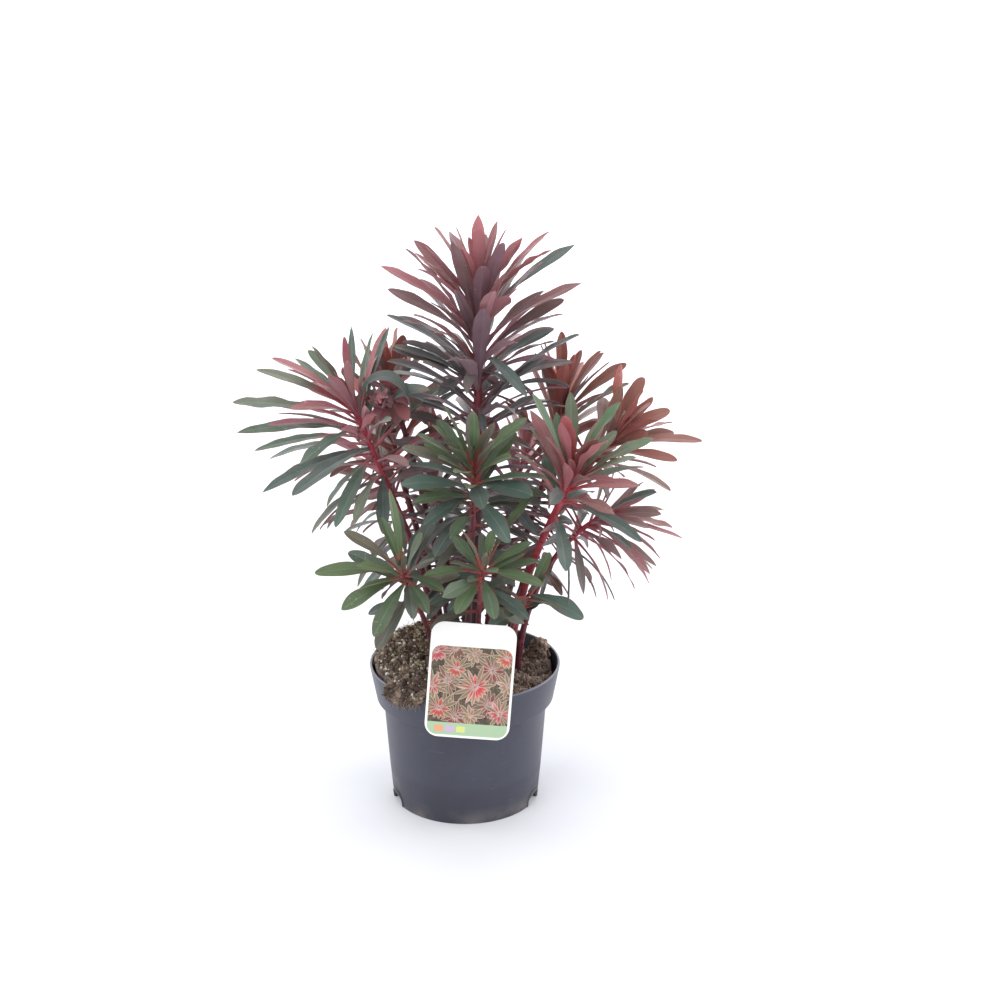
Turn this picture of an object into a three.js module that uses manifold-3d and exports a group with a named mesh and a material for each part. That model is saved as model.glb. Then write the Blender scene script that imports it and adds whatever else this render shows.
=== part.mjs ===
// A potted euphorbia: leafy shoots of narrow leaves set spirally on bare lower stems, in a nursery pot of
// thin plastic with a wide rim band, with a root ball that stands proud of the rim on one side and a
// printed plant label hooked over the front of the rim.
// Units are millimetres, +Z is up, -Y is the front, and the origin is the middle of the pot's underside.
import * as THREE from "three";
import { mergeVertices } from "three/addons/utils/BufferGeometryUtils.js";
import Module from "manifold-3d";

const wasm = await Module();
wasm.setup();

const DEG = Math.PI / 180;
const UP = new THREE.Vector3(0, 0, 1);

// ---- driving dimensions -------------------------------------------------------------------------

const GAP = 0.4; // clearance between neighbouring pieces
const WELD = 1e-4; // points nearer than this are one

const POT = {
  height: 144,
  rimRadius: 95,
  bandHeight: 36,
  bandBottomRadius: 88.5,
  wallTopRadius: 82,
  wallMiddle: [76.6, 33.5], // radius and height where the wall begins to draw in
  footRadius: 73.5,
  footWidth: 2.8,
  wall: 1.8,
  lip: 2.4, // the wall's thickness at the rim
  rimEase: [0.6, 1], // how far the rim's outer edge is drawn in and down
  channelHeight: 6, // the ring-shaped channel under the floor, between the foot and the middle
  channelEase: 1, // how much narrower the foot is at the channel's top
  middleRadius: 26,
  middleSlope: 4, // how far the middle's edge runs out below the floor
  cornerEase: 0.6, // how far the inside's lowest corner stands out
  sides: 32,
};
const NOTCH = {
  angles: [68, 112, 248, 292], // degrees round from the front
  width: 23,
  height: 11,
  straight: 0.45, // the share of its height where its sides begin to curve
  cutFrom: 11, // its cutter begins this far inside the foot
  cutDepth: 20,
  curveSegments: 3,
};
const DRAIN = { count: 6, circle: 49, radius: 5.5, cutDepth: 12, cutAbove: 1, sides: 8 };

const SOIL = {
  level: 134, // the surface where the root ball sits low, under the rim
  forward: 0.06, // its slope up towards the front
  rise: 21, // how far the raised half stands above that
  riseFrom: 4, // the raised half begins at this x and is full at riseTo
  riseTo: -34,
  shoulder: 12, // the drop of its edge towards the pot's wall
  shoulderWidth: 16,
  relief: 1.8,
  back: 4.5, // how far the surface stands back from the rim
  rings: 7,
  crowding: 1.1, // above 1 the rings lie closer at the edge
  spokes: 26,
};
// The clump that hangs over the rim. swell: how strongly its lumps stand out. fine: how much finer they
// are than the soil's.
const SPILL = { at: [-52, -78, 146], radii: [23, 18, 10], swell: 0.07, fine: 3, sides: [12, 8] };
const CLUMP = { at: [76, 32], height: 13, spread: 10 }; // loose peat against the rim

const LABEL = {
  width: 81,
  height: 113,
  corner: 13,
  thickness: 0.9,
  x: 5.5,
  belowRim: 36, // how much of the card hangs below the top of the rim
  lean: 8, // degrees, its top away from the front
  turn: 4.5, // degrees, clockwise as seen from the front
  standOff: 2.2, // from the rim to the card
  tongueWidth: 15,
  tongueFrom: 22, // where the tongue leaves the card, above the rim
  tongueBack: 9, // how far behind the outside of the rim it comes down
  tongueBend: [[0.6, 2], [0.3, 0.6]], // its bend: share of tongueFrom, and how far short of tongueBack
  tongueDepth: 24, // how far it reaches below the rim
  tongueSplay: 3, // how far its end stands further back
  tongueOverlap: 0.2, // how far it is sunk into the card
  curveSegments: 5,
};

const STEM = {
  foot: 116, // the height where the stems end, down in the root ball
  sides: 6,
  rings: 7,
  ringsInSoil: 4, // how many of them a stem's hole in the soil follows
  holeGap: 0.9, // how much wider than the stem its hole is
  lift: 0.38, // how far a stem rises straight up, as a share of its reach
  pull: 0.3, // how far back from its crown a stem takes up its heading
};

const LEAF = {
  turn: 137.508, // degrees between one leaf and the next round a stem
  steps: 20, // steps along a leaf's midrib
  sections: [0, 12], // the steps where a blade has a section; its blunt tip is at the last step
  tipShare: 0.975, // the share of the length whose width the tip has
  thickness: 0.8,
  foot: 2.4, // width where it leaves the stem
  sink: 0.4, // where its foot lies inside the stem, as a share of the stem's radius
  blunt: 0.55, // 0.5 is a round tip, 1 is a sharp one
  arch: 0.12, // how high an aimed leaf rises over the straight line to its tip
  archAt: 0.45, // the share of its length where it is highest over that line
  roll: 0.9, // how far an aimed leaf that points sideways turns its face to the front
};

// How the leaves of a shoot change from the lowest, rank 0, to the one at the crown, rank 1.
const GROWTH = {
  climb: 1.3, // above 1 the leaves stand closer at the crown
  top: 0.995, // the share of the stem where they end
  opening: 0.85, // below 1 the middle leaves stay open longer
  lowest: 0.8, // the length of the lowest leaf, as a share of the longest, which is half way up
  narrowing: 0.45, // how much narrower the leaves at the crown are
  narrowingPower: 3,
  stiffening: 0.8, // how much less they droop
  curl: [0.4, 0.05], // radians over a leaf's length, at the lowest and at the crown
  crowned: 0.92, // leaves from this rank up may touch their siblings
};

// How a leaf strays from the rule, and what changes at each new try until it is clear.
const STRAY = {
  tries: 16,
  degrees: 5,
  length: [0.9, 1.05],
  width: [0.88, 1.08],
  twist: 0.7, // radians over a leaf's length, either way
  curl: [0.6, 1.4],
  step: 3, // degrees further round the stem at each try
  stepOpen: 0.6, // and this share of it away from the stem
  stepTip: 0.7, // and this many millimetres a degree for the tip of an aimed leaf
  lastTries: 9, // after this many tries the leaf is also shorter and narrower
  lastLength: 0.75,
  lastWidth: 0.85,
};
const CLEAR = {
  others: 5.4, // between leaves of different shoots
  siblings: 2.6, // between the outer parts of leaves of one shoot
  stems: 3.4,
  outerFrom: 0.25, // the share of a leaf's length that counts as its foot
  across: [-1, -0.5, 0, 0.5, 1],
  soil: 170, // leaves over the pot stay above this
  floor: 118, // and the ones outside it above this
  potRadius: 110,
  firstStep: 2, // the step of a leaf's midrib where its samples begin
  stemSamples: 60, // points along each stem
  label: { low: [-44, -114], high: [55, -78, 229] },
  cell: 10, // the size of the cells that sort the samples, above every clearance
};

const FINISH = {
  pot: { color: 0x595c6b, roughness: 0.45 },
  soil: { color: 0x6b5b50, roughness: 0.95 },
  label: { color: 0xf2f2ee, roughness: 0.35 },
  leaf: { roughness: 0.6 },
};

// A shoot runs from its base in the soil to its crown and arrives there along "heading".
// radius: at the base and at the crown. bare: the share of the stem with no leaves. length: of the
// longest leaf. young: the length of the leaves at the crown, as a share of that. open: degrees between
// leaf and stem at the lowest leaf and at the crown. droop: how strongly leaves bend down.
// spoon: 1.4 for a lance shape to 2.2 for a spoon. turn: degrees round the stem to the first leaf.
// aimed: leaves with a place of their own, each as the share of the stem that it grows from, its tip and
// its width. leaves: how many more follow the rule.
const SHOOTS = [
  {
    name: "tall", colour: 0x6b4650,
    base: [10, 0], crown: [15, 8, 526], heading: [0, 0, 1], radius: [6.5, 3],
    leaves: 35, bare: 0.62, length: 116, young: 0.45, width: 15,
    open: [56, 8], droop: 0.5, spoon: 1.6, turn: 20,
    aimed: [
      [0.99, [15, 5, 590], 14], [0.95, [-25, -5, 580], 13], [0.91, [-45, 10, 565], 13],
      [0.87, [-75, -10, 545], 12], [0.84, [-70, 5, 520], 12], [0.77, [-70, -15, 500], 12],
      [0.73, [-65, -25, 470], 12], [0.93, [80, 0, 575], 12], [0.9, [105, 15, 560], 12],
      [0.84, [110, -15, 530], 12], [0.8, [95, 5, 510], 14], [0.76, [85, -10, 485], 12],
      [0.72, [20, -55, 515], 19], [0.86, [20, -35, 550], 16], [0.85, [40, -40, 545], 15],
      [0.82, [-5, -45, 530], 18], [0.82, [60, -65, 435], 12],
    ],
  },
  {
    name: "left", colour: 0x55584f,
    base: [-24, -2], crown: [-104, -20, 420], heading: [-0.3, -0.1, 1], radius: [4, 2.6],
    leaves: 16, bare: 0.68, length: 108, young: 0.6, width: 14,
    open: [96, 10], droop: 0.35, spoon: 1.8, turn: 60,
    aimed: [
      [0.91, [-215, -30, 420], 14], [0.88, [-210, -45, 395], 12], [0.86, [-200, -5, 365], 12],
      [0.82, [-185, -70, 345], 15], [0.82, [-160, -85, 345], 17], [0.95, [-195, -5, 445], 13],
      [0.96, [-175, -40, 465], 15], [0.98, [-145, -10, 465], 14], [0.99, [-105, 5, 485], 11],
      [0.8, [-120, -55, 305], 16], [0.72, [-75, -60, 300], 14],
    ],
  },
  {
    name: "nodding", colour: 0x6e3a40,
    base: [-12, 12], crown: [-71, -16, 424], heading: [0.1, -1, -0.2], radius: [3.6, 2.4],
    leaves: 15, bare: 0.78, length: 44, young: 0.6, width: 10,
    open: [70, 25], droop: 0.5, spoon: 1.7, turn: 10,
    aimed: [[0.93, [-50, -40, 405], 12]],
  },
  {
    name: "back_left", colour: 0x6b4640,
    base: [-20, 24], crown: [-75, 60, 402], heading: [0, 0.1, 1], radius: [3.8, 2.4],
    leaves: 13, bare: 0.74, length: 98, young: 0.6, width: 15,
    open: [70, 8], droop: 0.3, spoon: 1.8, turn: 200,
    aimed: [[0.98, [-65, 60, 470], 15], [0.97, [-90, 60, 455], 12], [0.96, [-80, 0, 440], 10]],
  },
  {
    name: "front_middle", colour: 0x55624f,
    base: [2, -26], crown: [11, -70, 372], heading: [0, -0.3, 1], radius: [3.4, 2.2],
    leaves: 14, bare: 0.76, length: 82, young: 0.6, width: 16,
    open: [104, 12], droop: 0.3, spoon: 2, turn: 100,
    aimed: [
      [0.97, [-15, -80, 430], 16], [0.95, [-40, -100, 410], 14], [0.93, [-55, -75, 390], 19],
      [0.98, [50, -75, 425], 14], [0.9, [20, -130, 350], 16], [0.9, [65, -95, 350], 19],
      [0.85, [-35, -90, 320], 14],
    ],
  },
  {
    name: "right", colour: 0x7a4a4c,
    base: [43, -12], crown: [104, -60, 360], heading: [0.4, -0.3, 1], radius: [4.6, 3],
    leaves: 13, bare: 0.76, length: 90, young: 0.6, width: 15,
    open: [96, 10], droop: 0.35, spoon: 1.9, turn: 140,
    aimed: [
      [0.96, [60, -55, 440], 14], [0.99, [100, -50, 435], 14], [0.97, [90, -95, 420], 14],
      [0.96, [145, -65, 430], 15], [0.97, [130, -105, 405], 20], [0.93, [50, -70, 420], 12],
      [0.92, [50, -105, 390], 12], [0.94, [175, -80, 400], 12],
    ],
  },
  {
    name: "back_right", colour: 0x6f4640,
    base: [32, 20], crown: [96, 60, 392], heading: [0.1, 0.1, 1], radius: [3.8, 2.4],
    leaves: 13, bare: 0.74, length: 96, young: 0.6, width: 15,
    open: [74, 8], droop: 0.35, spoon: 1.8, turn: 80,
    aimed: [
      [0.98, [95, 65, 465], 13], [0.96, [75, 50, 455], 12], [0.98, [115, 70, 445], 12],
      [0.96, [135, 40, 450], 12], [0.94, [160, 75, 430], 12],
    ],
  },
  {
    name: "far_right", colour: 0x7a4440,
    base: [40, 6], crown: [148, 20, 374], heading: [0.7, 0, 0.8], radius: [3.8, 2.4],
    leaves: 13, bare: 0.74, length: 84, young: 0.6, width: 15,
    open: [84, 8], droop: 0.4, spoon: 1.9, turn: 0,
    aimed: [
      [0.98, [170, 30, 440], 16], [0.99, [150, 15, 445], 12], [0.97, [175, 5, 415], 14],
      [0.95, [200, 30, 395], 14], [0.93, [230, 10, 370], 14], [0.9, [205, -5, 355], 14],
    ],
  },
  {
    name: "low_right", colour: 0x5f4f4c,
    base: [52, 0], crown: [136, -22, 306], heading: [0.9, -0.1, 0.5], radius: [3.6, 2.2],
    leaves: 13, bare: 0.66, length: 84, young: 0.6, width: 12,
    open: [88, 12], droop: 0.6, spoon: 1.7, turn: 30,
    aimed: [
      [0.95, [210, -30, 285], 9], [0.9, [185, -40, 260], 10], [0.93, [180, -70, 345], 16],
      [0.97, [195, 10, 300], 11], [0.85, [150, -60, 275], 14], [0.8, [115, -50, 235], 12],
    ],
  },
  {
    name: "low_left", colour: 0x4f6050,
    base: [-24, -28], crown: [-55, -93, 276], heading: [-0.2, -0.6, 1], radius: [3.2, 2],
    leaves: 10, bare: 0.74, length: 78, young: 0.6, width: 15,
    open: [104, 14], droop: 0.2, spoon: 2, turn: 90,
    aimed: [
      [0.97, [-135, -110, 280], 15], [0.93, [-110, -125, 250], 14], [0.9, [-80, -140, 230], 16],
      [0.92, [-30, -135, 250], 13], [0.96, [-15, -120, 265], 13], [0.99, [-65, -105, 360], 14],
      [0.95, [-110, -80, 310], 13], [0.96, [-25, -85, 320], 14],
    ],
  },
  {
    name: "low_middle", colour: 0x4f6450,
    base: [12, -32], crown: [20, -103, 284], heading: [0.1, -0.5, 1], radius: [3, 2],
    leaves: 9, bare: 0.76, length: 62, young: 0.6, width: 14,
    open: [108, 14], droop: 0.25, spoon: 2.1, turn: 45,
    aimed: [
      [0.96, [75, -115, 270], 15], [0.95, [65, -95, 305], 13], [0.9, [30, -135, 245], 14],
      [0.92, [-5, -135, 250], 15], [0.95, [-35, -115, 280], 12], [0.98, [0, -115, 325], 13],
      [0.99, [45, -95, 340], 12],
    ],
  },
  {
    name: "inner", colour: 0x5f3f42,
    base: [-6, 26], crown: [-31, 52, 352], heading: [0, 0.1, 1], radius: [3.6, 2.4],
    leaves: 15, bare: 0.52, length: 78, young: 0.6, width: 15,
    open: [84, 10], droop: 0.45, spoon: 1.8, turn: 150,
    aimed: [],
  },
  {
    name: "skirt", colour: 0x4a5c4e,
    base: [34, -30], crown: [64, -52, 238], heading: [0.5, -0.4, 1], radius: [2.8, 1.8],
    leaves: 6, bare: 0.6, length: 64, young: 0.6, width: 17,
    open: [98, 30], droop: 0.5, spoon: 2.1, turn: 120,
    aimed: [[0.97, [115, -55, 212], 19], [0.95, [42, -104, 234], 17]],
  },
  {
    name: "rear_left", colour: 0x50584c,
    base: [-22, 42], crown: [-88, 104, 318], heading: [-0.4, 0.5, 1], radius: [3.4, 2.2],
    leaves: 15, bare: 0.5, length: 84, young: 0.6, width: 15,
    open: [98, 12], droop: 0.45, spoon: 1.8, turn: 70,
    aimed: [],
  },
  {
    name: "rear_right", colour: 0x54584c,
    base: [20, 42], crown: [62, 116, 330], heading: [0.3, 0.5, 1], radius: [3.4, 2.2],
    leaves: 15, bare: 0.5, length: 84, young: 0.6, width: 15,
    open: [98, 12], droop: 0.45, spoon: 1.8, turn: 15,
    aimed: [],
  },
  {
    name: "rear_low", colour: 0x4c5c4e,
    base: [0, 52], crown: [-12, 124, 246], heading: [-0.1, 0.7, 1], radius: [3, 2],
    leaves: 11, bare: 0.6, length: 70, young: 0.6, width: 15,
    open: [100, 16], droop: 0.3, spoon: 2, turn: 110,
    aimed: [],
  },
];

// ---- solids -------------------------------------------------------------------------------------

// A closed geometry as a solid that can be joined and cut.
function solidOf(geometry) {
  const bare = geometry.clone();
  bare.deleteAttribute("normal");
  bare.deleteAttribute("uv");
  const merged = mergeVertices(bare, WELD);
  return new wasm.Manifold(
    new wasm.Mesh({
      numProp: 3,
      vertProperties: merged.attributes.position.array,
      triVerts: new Uint32Array(merged.index.array),
    }),
  );
}

// A solid as a geometry again.
function geometryOf(solid) {
  const mesh = solid.getMesh();
  const geometry = new THREE.BufferGeometry();
  geometry.setAttribute("position", new THREE.BufferAttribute(mesh.vertProperties, 3));
  geometry.setIndex(new THREE.BufferAttribute(mesh.triVerts, 1));
  geometry.computeVertexNormals();
  return geometry;
}

// A closed skin over rings of equally many points, each ring counter-clockwise as seen from the end that
// the rings run towards. A ring may also be a single point. The sides named in "flipped" have their
// four-sided faces split along the other diagonal.
function loft(rings, flipped = []) {
  const points = rings.flat();
  const starts = [0];
  for (const ring of rings) starts.push(starts.at(-1) + ring.length);
  const faces = [];
  for (let i = 0; i + 1 < rings.length; i++) {
    const count = Math.max(rings[i].length, rings[i + 1].length);
    for (let j = 0; j < count; j++) {
      const k = (j + 1) % count;
      const [a, b] = [j, k].map((n) => starts[i] + (n % rings[i].length));
      const [c, d] = [j, k].map((n) => starts[i + 1] + (n % rings[i + 1].length));
      if (a === b) faces.push(a, d, c);
      else if (c === d) faces.push(a, b, d);
      else if (flipped.includes(j)) faces.push(a, b, c, b, d, c);
      else faces.push(a, b, d, a, d, c);
    }
  }
  const last = rings.length - 1;
  for (let j = 1; j + 1 < rings[0].length; j++) faces.push(starts[0], starts[0] + j + 1, starts[0] + j);
  for (let j = 1; j + 1 < rings[last].length; j++) {
    faces.push(starts[last], starts[last] + j, starts[last] + j + 1);
  }
  const geometry = new THREE.BufferGeometry().setFromPoints(points);
  geometry.setIndex(faces);
  return geometry;
}

// A body of revolution about +Z from a profile of [radius, height] points.
function turned(profile, sides) {
  const points = profile.map(([radius, height]) => new THREE.Vector2(radius, height));
  return new THREE.LatheGeometry(points, sides).rotateX(90 * DEG);
}

// ---- pot ----------------------------------------------------------------------------------------

// The outside of the pot's wall from the foot to the rim, as [radius, height].
function potOutside() {
  const bandBottom = POT.height - POT.bandHeight;
  return [
    [POT.footRadius, 0],
    POT.wallMiddle,
    [POT.wallTopRadius, bandBottom],
    [POT.bandBottomRadius, bandBottom],
    [POT.rimRadius, POT.height - POT.rimEase[1]],
    [POT.rimRadius - POT.rimEase[0], POT.height],
  ];
}

// The inside of the wall from the rim down to the floor, pulled in by "inset" from the plastic.
function potInside(inset) {
  const bandBottom = POT.height - POT.bandHeight;
  const depth = POT.wall + inset;
  return [
    [POT.rimRadius - POT.lip - inset, POT.height + inset],
    [POT.bandBottomRadius - depth, bandBottom + depth],
    [POT.wallTopRadius - depth, bandBottom + inset],
    [POT.wallMiddle[0] - depth, POT.wallMiddle[1]],
    [POT.footRadius - depth + POT.cornerEase, POT.channelHeight + depth],
  ];
}

// The outline of a notch, a little longer than the wall at its foot.
function archShape(width, height) {
  const shape = new THREE.Shape();
  shape.moveTo(-width / 2, -1);
  shape.lineTo(width / 2, -1);
  shape.lineTo(width / 2, height * NOTCH.straight);
  shape.quadraticCurveTo(width / 2, height, 0, height);
  shape.quadraticCurveTo(-width / 2, height, -width / 2, height * NOTCH.straight);
  return shape;
}

function potGeometry() {
  const { wall, channelHeight, middleRadius, middleSlope } = POT;
  const footInside = POT.footRadius - POT.footWidth;
  const profile = [
    [0, 0],
    [middleRadius, 0],
    [middleRadius + middleSlope, channelHeight],
    [footInside - POT.channelEase, channelHeight],
    [footInside, 0],
    ...potOutside(),
    ...potInside(0),
    [middleRadius + middleSlope - wall, channelHeight + wall],
    [middleRadius - wall, wall],
    [0, wall],
  ];
  let pot = solidOf(turned(profile, POT.sides));
  for (const angle of NOTCH.angles) {
    const notch = new THREE.ExtrudeGeometry(archShape(NOTCH.width, NOTCH.height), {
      depth: NOTCH.cutDepth,
      bevelEnabled: false,
      curveSegments: NOTCH.curveSegments,
    });
    notch.rotateX(90 * DEG).translate(0, NOTCH.cutFrom - POT.footRadius, 0).rotateZ(angle * DEG);
    pot = pot.subtract(solidOf(notch));
  }
  for (let i = 0; i < DRAIN.count; i++) {
    const { radius, cutDepth, cutAbove, sides } = DRAIN;
    const hole = new THREE.CylinderGeometry(radius, radius, cutDepth, sides).rotateX(90 * DEG);
    hole.translate(DRAIN.circle, 0, channelHeight + cutAbove).rotateZ((i * 360 * DEG) / DRAIN.count);
    pot = pot.subtract(solidOf(hole));
  }
  return geometryOf(pot);
}

// ---- label --------------------------------------------------------------------------------------

// The card, upright in the plane y = 0 with its middle at x = 0 and z = 0 level with the rim.
function cardShape() {
  const [w, r] = [LABEL.width / 2, LABEL.corner];
  const bottom = -LABEL.belowRim;
  const top = LABEL.height - LABEL.belowRim;
  const shape = new THREE.Shape();
  shape.moveTo(-w + r, bottom);
  shape.lineTo(w - r, bottom);
  shape.absarc(w - r, bottom + r, r, -90 * DEG, 0);
  shape.lineTo(w, top - r);
  shape.absarc(w - r, top - r, r, 0, 90 * DEG);
  shape.lineTo(-w + r, top);
  shape.absarc(-w + r, top - r, r, 90 * DEG, 180 * DEG);
  shape.lineTo(-w, bottom + r);
  shape.absarc(-w + r, bottom + r, r, 180 * DEG, 270 * DEG);
  return shape;
}

// The tongue's side view as [back, up] from the outside of the rim, "grow" fatter all round.
function tongueShape(grow) {
  const { standOff, lean, tongueFrom, tongueBack, tongueDepth, thickness } = LABEL;
  const cardAt = tongueFrom * Math.tan(lean * DEG) - standOff;
  const path = [
    [cardAt - LABEL.tongueOverlap, tongueFrom],
    ...LABEL.tongueBend.map(([share, short]) => [tongueBack - short, tongueFrom * share]),
    [tongueBack, 0],
    [tongueBack + LABEL.tongueSplay, -tongueDepth - grow],
  ];
  const half = thickness / 2 + grow;
  const outer = path.map(([back, up], i) => new THREE.Vector2(back + (i > 0 ? half : 0), up + half));
  const inner = path.map(([back, up]) => new THREE.Vector2(back - half, up - half));
  return new THREE.Shape([...outer, ...inner.reverse()]);
}

function tongueGeometry(grow) {
  const width = LABEL.tongueWidth + 2 * grow;
  const tongue = new THREE.ExtrudeGeometry(tongueShape(grow), { depth: width, bevelEnabled: false });
  return tongue.translate(0, 0, -width / 2).rotateX(90 * DEG).rotateZ(90 * DEG);
}

// Where the label hangs on the rim.
function placeLabel(object) {
  const edge = Math.sqrt(POT.rimRadius ** 2 - LABEL.x ** 2);
  object.position.set(LABEL.x, -edge, POT.height);
  object.rotation.set(0, LABEL.turn * DEG, 0);
  object.updateMatrix();
  return object;
}

function labelGeometry() {
  const card = new THREE.ExtrudeGeometry(cardShape(), {
    depth: LABEL.thickness,
    bevelEnabled: false,
    curveSegments: LABEL.curveSegments,
  });
  card.translate(0, 0, -LABEL.thickness / 2).rotateX(90 * DEG);
  card.rotateX(-LABEL.lean * DEG).translate(0, -LABEL.standOff, 0);
  return geometryOf(solidOf(card).add(solidOf(tongueGeometry(0))));
}

// ---- stems and leaves ---------------------------------------------------------------------------

let seed = 7;

// The next number of a repeatable sequence, between low and high.
function draw(low, high) {
  seed = (seed * 1664525 + 1013904223) % 4294967296;
  return low + ((high - low) * seed) / 4294967296;
}

function stemCurve(shoot) {
  const base = new THREE.Vector3(shoot.base[0], shoot.base[1], STEM.foot);
  const crown = new THREE.Vector3(...shoot.crown);
  const heading = new THREE.Vector3(...shoot.heading).normalize();
  const reach = base.distanceTo(crown);
  return new THREE.CubicBezierCurve3(
    base,
    base.clone().addScaledVector(UP, STEM.lift * reach),
    crown.clone().addScaledVector(heading, -STEM.pull * reach),
    crown,
  );
}

// Two directions square to "axis", the first as near to +X as it goes.
function crossAxes(axis) {
  const east = new THREE.Vector3(1, 0, 0).addScaledVector(axis, -axis.x).normalize();
  return [east, axis.clone().cross(east)];
}

// The rings of points round a stem, from its foot to its crown, "grow" wider than the stem.
function stemRings(shoot, curve, grow) {
  const rings = [];
  for (let i = 0; i <= STEM.rings; i++) {
    const share = i / STEM.rings;
    const radius = THREE.MathUtils.lerp(...shoot.radius, share) + grow;
    const centre = curve.getPoint(share);
    const axis = curve.getTangent(share);
    if (i === 0) centre.addScaledVector(axis, -grow);
    const [east, north] = crossAxes(axis);
    rings.push(
      Array.from({ length: STEM.sides }, (_, j) => {
        const angle = (j * 360 * DEG) / STEM.sides;
        return centre
          .clone()
          .addScaledVector(east, radius * Math.cos(angle))
          .addScaledVector(north, radius * Math.sin(angle));
      }),
    );
  }
  return rings;
}

// The point at a share of the stem's length, in the middle of its rings.
function onStem(curve, share) {
  const below = Math.min(Math.floor(share * STEM.rings), STEM.rings - 1);
  const above = curve.getPoint((below + 1) / STEM.rings);
  return curve.getPoint(below / STEM.rings).lerp(above, share * STEM.rings - below);
}

// Half the width of a leaf at a share of its length: a lance or spoon shape, and a foot of its own width.
function halfWidth(share, width, spoon) {
  const t = Math.min(share, LEAF.tipShare);
  const peak = spoon / (1 + spoon);
  const full = (t / peak) ** (LEAF.blunt * spoon) * ((1 - t) / (1 - peak)) ** LEAF.blunt;
  return Math.max((width / 2) * full, (LEAF.foot / 2) * (1 - t) ** 0.5);
}

// A leaf's midrib and the direction across the blade at each of its steps, for a leaf that grows by the
// rule: it leaves the stem at "open" degrees and bends outwards and down.
function grownLeaf(shoot, curve, leaf) {
  const axis = curve.getTangent(leaf.share);
  const [east, north] = crossAxes(axis);
  const out = east.multiplyScalar(Math.cos(leaf.azimuth * DEG));
  out.addScaledVector(north, Math.sin(leaf.azimuth * DEG));
  const side = axis.clone().cross(out);
  const direction = axis.clone().multiplyScalar(Math.cos(leaf.open * DEG));
  direction.addScaledVector(out, Math.sin(leaf.open * DEG));
  const point = onStem(curve, leaf.share).addScaledVector(out, LEAF.sink * shoot.radius[1]);
  const midrib = [];
  for (let step = 0; step <= LEAF.steps; step++) {
    midrib.push({ point: point.clone(), side: side.clone() });
    const t = (step + 0.5) / LEAF.steps;
    const face = direction.clone().cross(side);
    direction.addScaledVector(face, -leaf.curl / LEAF.steps);
    direction.addScaledVector(UP, (-2 * t * leaf.droop) / LEAF.steps).normalize();
    side.addScaledVector(face, leaf.twist / LEAF.steps);
    side.addScaledVector(direction, -side.dot(direction)).normalize();
    point.addScaledVector(direction, leaf.length / LEAF.steps);
  }
  return midrib;
}

// The same for a leaf that is aimed at a point: it rises from the stem and arches over to its tip.
function aimedLeaf(shoot, curve, leaf) {
  const reach = leaf.tip.clone().sub(onStem(curve, leaf.share));
  const across = new THREE.Vector3(-reach.y, reach.x, 0).normalize();
  const out = new THREE.Vector3(reach.x, reach.y, 0).normalize();
  const root = onStem(curve, leaf.share).addScaledVector(out, LEAF.sink * shoot.radius[1]);
  const top = root.clone().lerp(leaf.tip, LEAF.archAt).addScaledVector(UP, LEAF.arch * reach.length());
  const arc = new THREE.QuadraticBezierCurve3(root, top, leaf.tip);
  const midrib = [];
  for (let step = 0; step <= LEAF.steps; step++) {
    const t = step / LEAF.steps;
    const direction = arc.getTangent(t);
    const side = across.clone().addScaledVector(UP, across.y * LEAF.roll * t);
    side.addScaledVector(direction, -side.dot(direction)).normalize();
    midrib.push({ point: arc.getPoint(t), side });
  }
  return midrib;
}

// The points that stand for a leaf when it is kept clear of the others.
function leafSamples(leaf) {
  const samples = [];
  for (let step = CLEAR.firstStep; step <= LEAF.steps; step++) {
    const t = step / LEAF.steps;
    const { point, side } = leaf.midrib[step];
    const half = halfWidth(t, leaf.width, leaf.spoon);
    for (const share of CLEAR.across) {
      samples.push({ at: point.clone().addScaledVector(side, share * half), outer: t > CLEAR.outerFrom });
    }
  }
  return samples;
}

// Points in cells, so that only near ones are compared.
class Crowd {
  cells = new Map();

  add(at, radius, shoot, outer) {
    const key = this.key(at.x, at.y, at.z, 0, 0, 0);
    if (!this.cells.has(key)) this.cells.set(key, []);
    this.cells.get(key).push({ at, radius, shoot, outer });
  }

  key(x, y, z, i, j, k) {
    const { cell } = CLEAR;
    return [Math.floor(x / cell) + i, Math.floor(y / cell) + j, Math.floor(z / cell) + k].join();
  }

  near({ x, y, z }) {
    const found = [];
    for (let i = -1; i <= 1; i++) {
      for (let j = -1; j <= 1; j++) {
        for (let k = -1; k <= 1; k++) found.push(...(this.cells.get(this.key(x, y, z, i, j, k)) ?? []));
      }
    }
    return found;
  }
}

const stemCrowd = new Crowd();
const leafCrowd = new Crowd();

// True if a sample of a leaf lies in the soil or the label, or too near to a stem or another leaf. A leaf's
// foot may touch its own stem and its siblings.
function blocked(sample, shoot, crowned) {
  const { at, outer } = sample;
  const { low, high } = CLEAR.label;
  const lowest = Math.hypot(at.x, at.y) < CLEAR.potRadius ? CLEAR.soil : CLEAR.floor;
  if (at.z < lowest) return true;
  if (at.x > low[0] && at.x < high[0] && at.y > low[1] && at.y < high[1] && at.z < high[2]) return true;
  for (const stem of stemCrowd.near(at)) {
    if (stem.shoot === shoot && !outer) continue;
    if (stem.at.distanceTo(at) < stem.radius + CLEAR.stems) return true;
  }
  for (const other of leafCrowd.near(at)) {
    if (other.shoot === shoot && (crowned || !outer || !other.outer)) continue;
    const least = other.shoot === shoot ? CLEAR.siblings : CLEAR.others;
    if (other.at.distanceTo(at) < least) return true;
  }
  return false;
}

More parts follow.
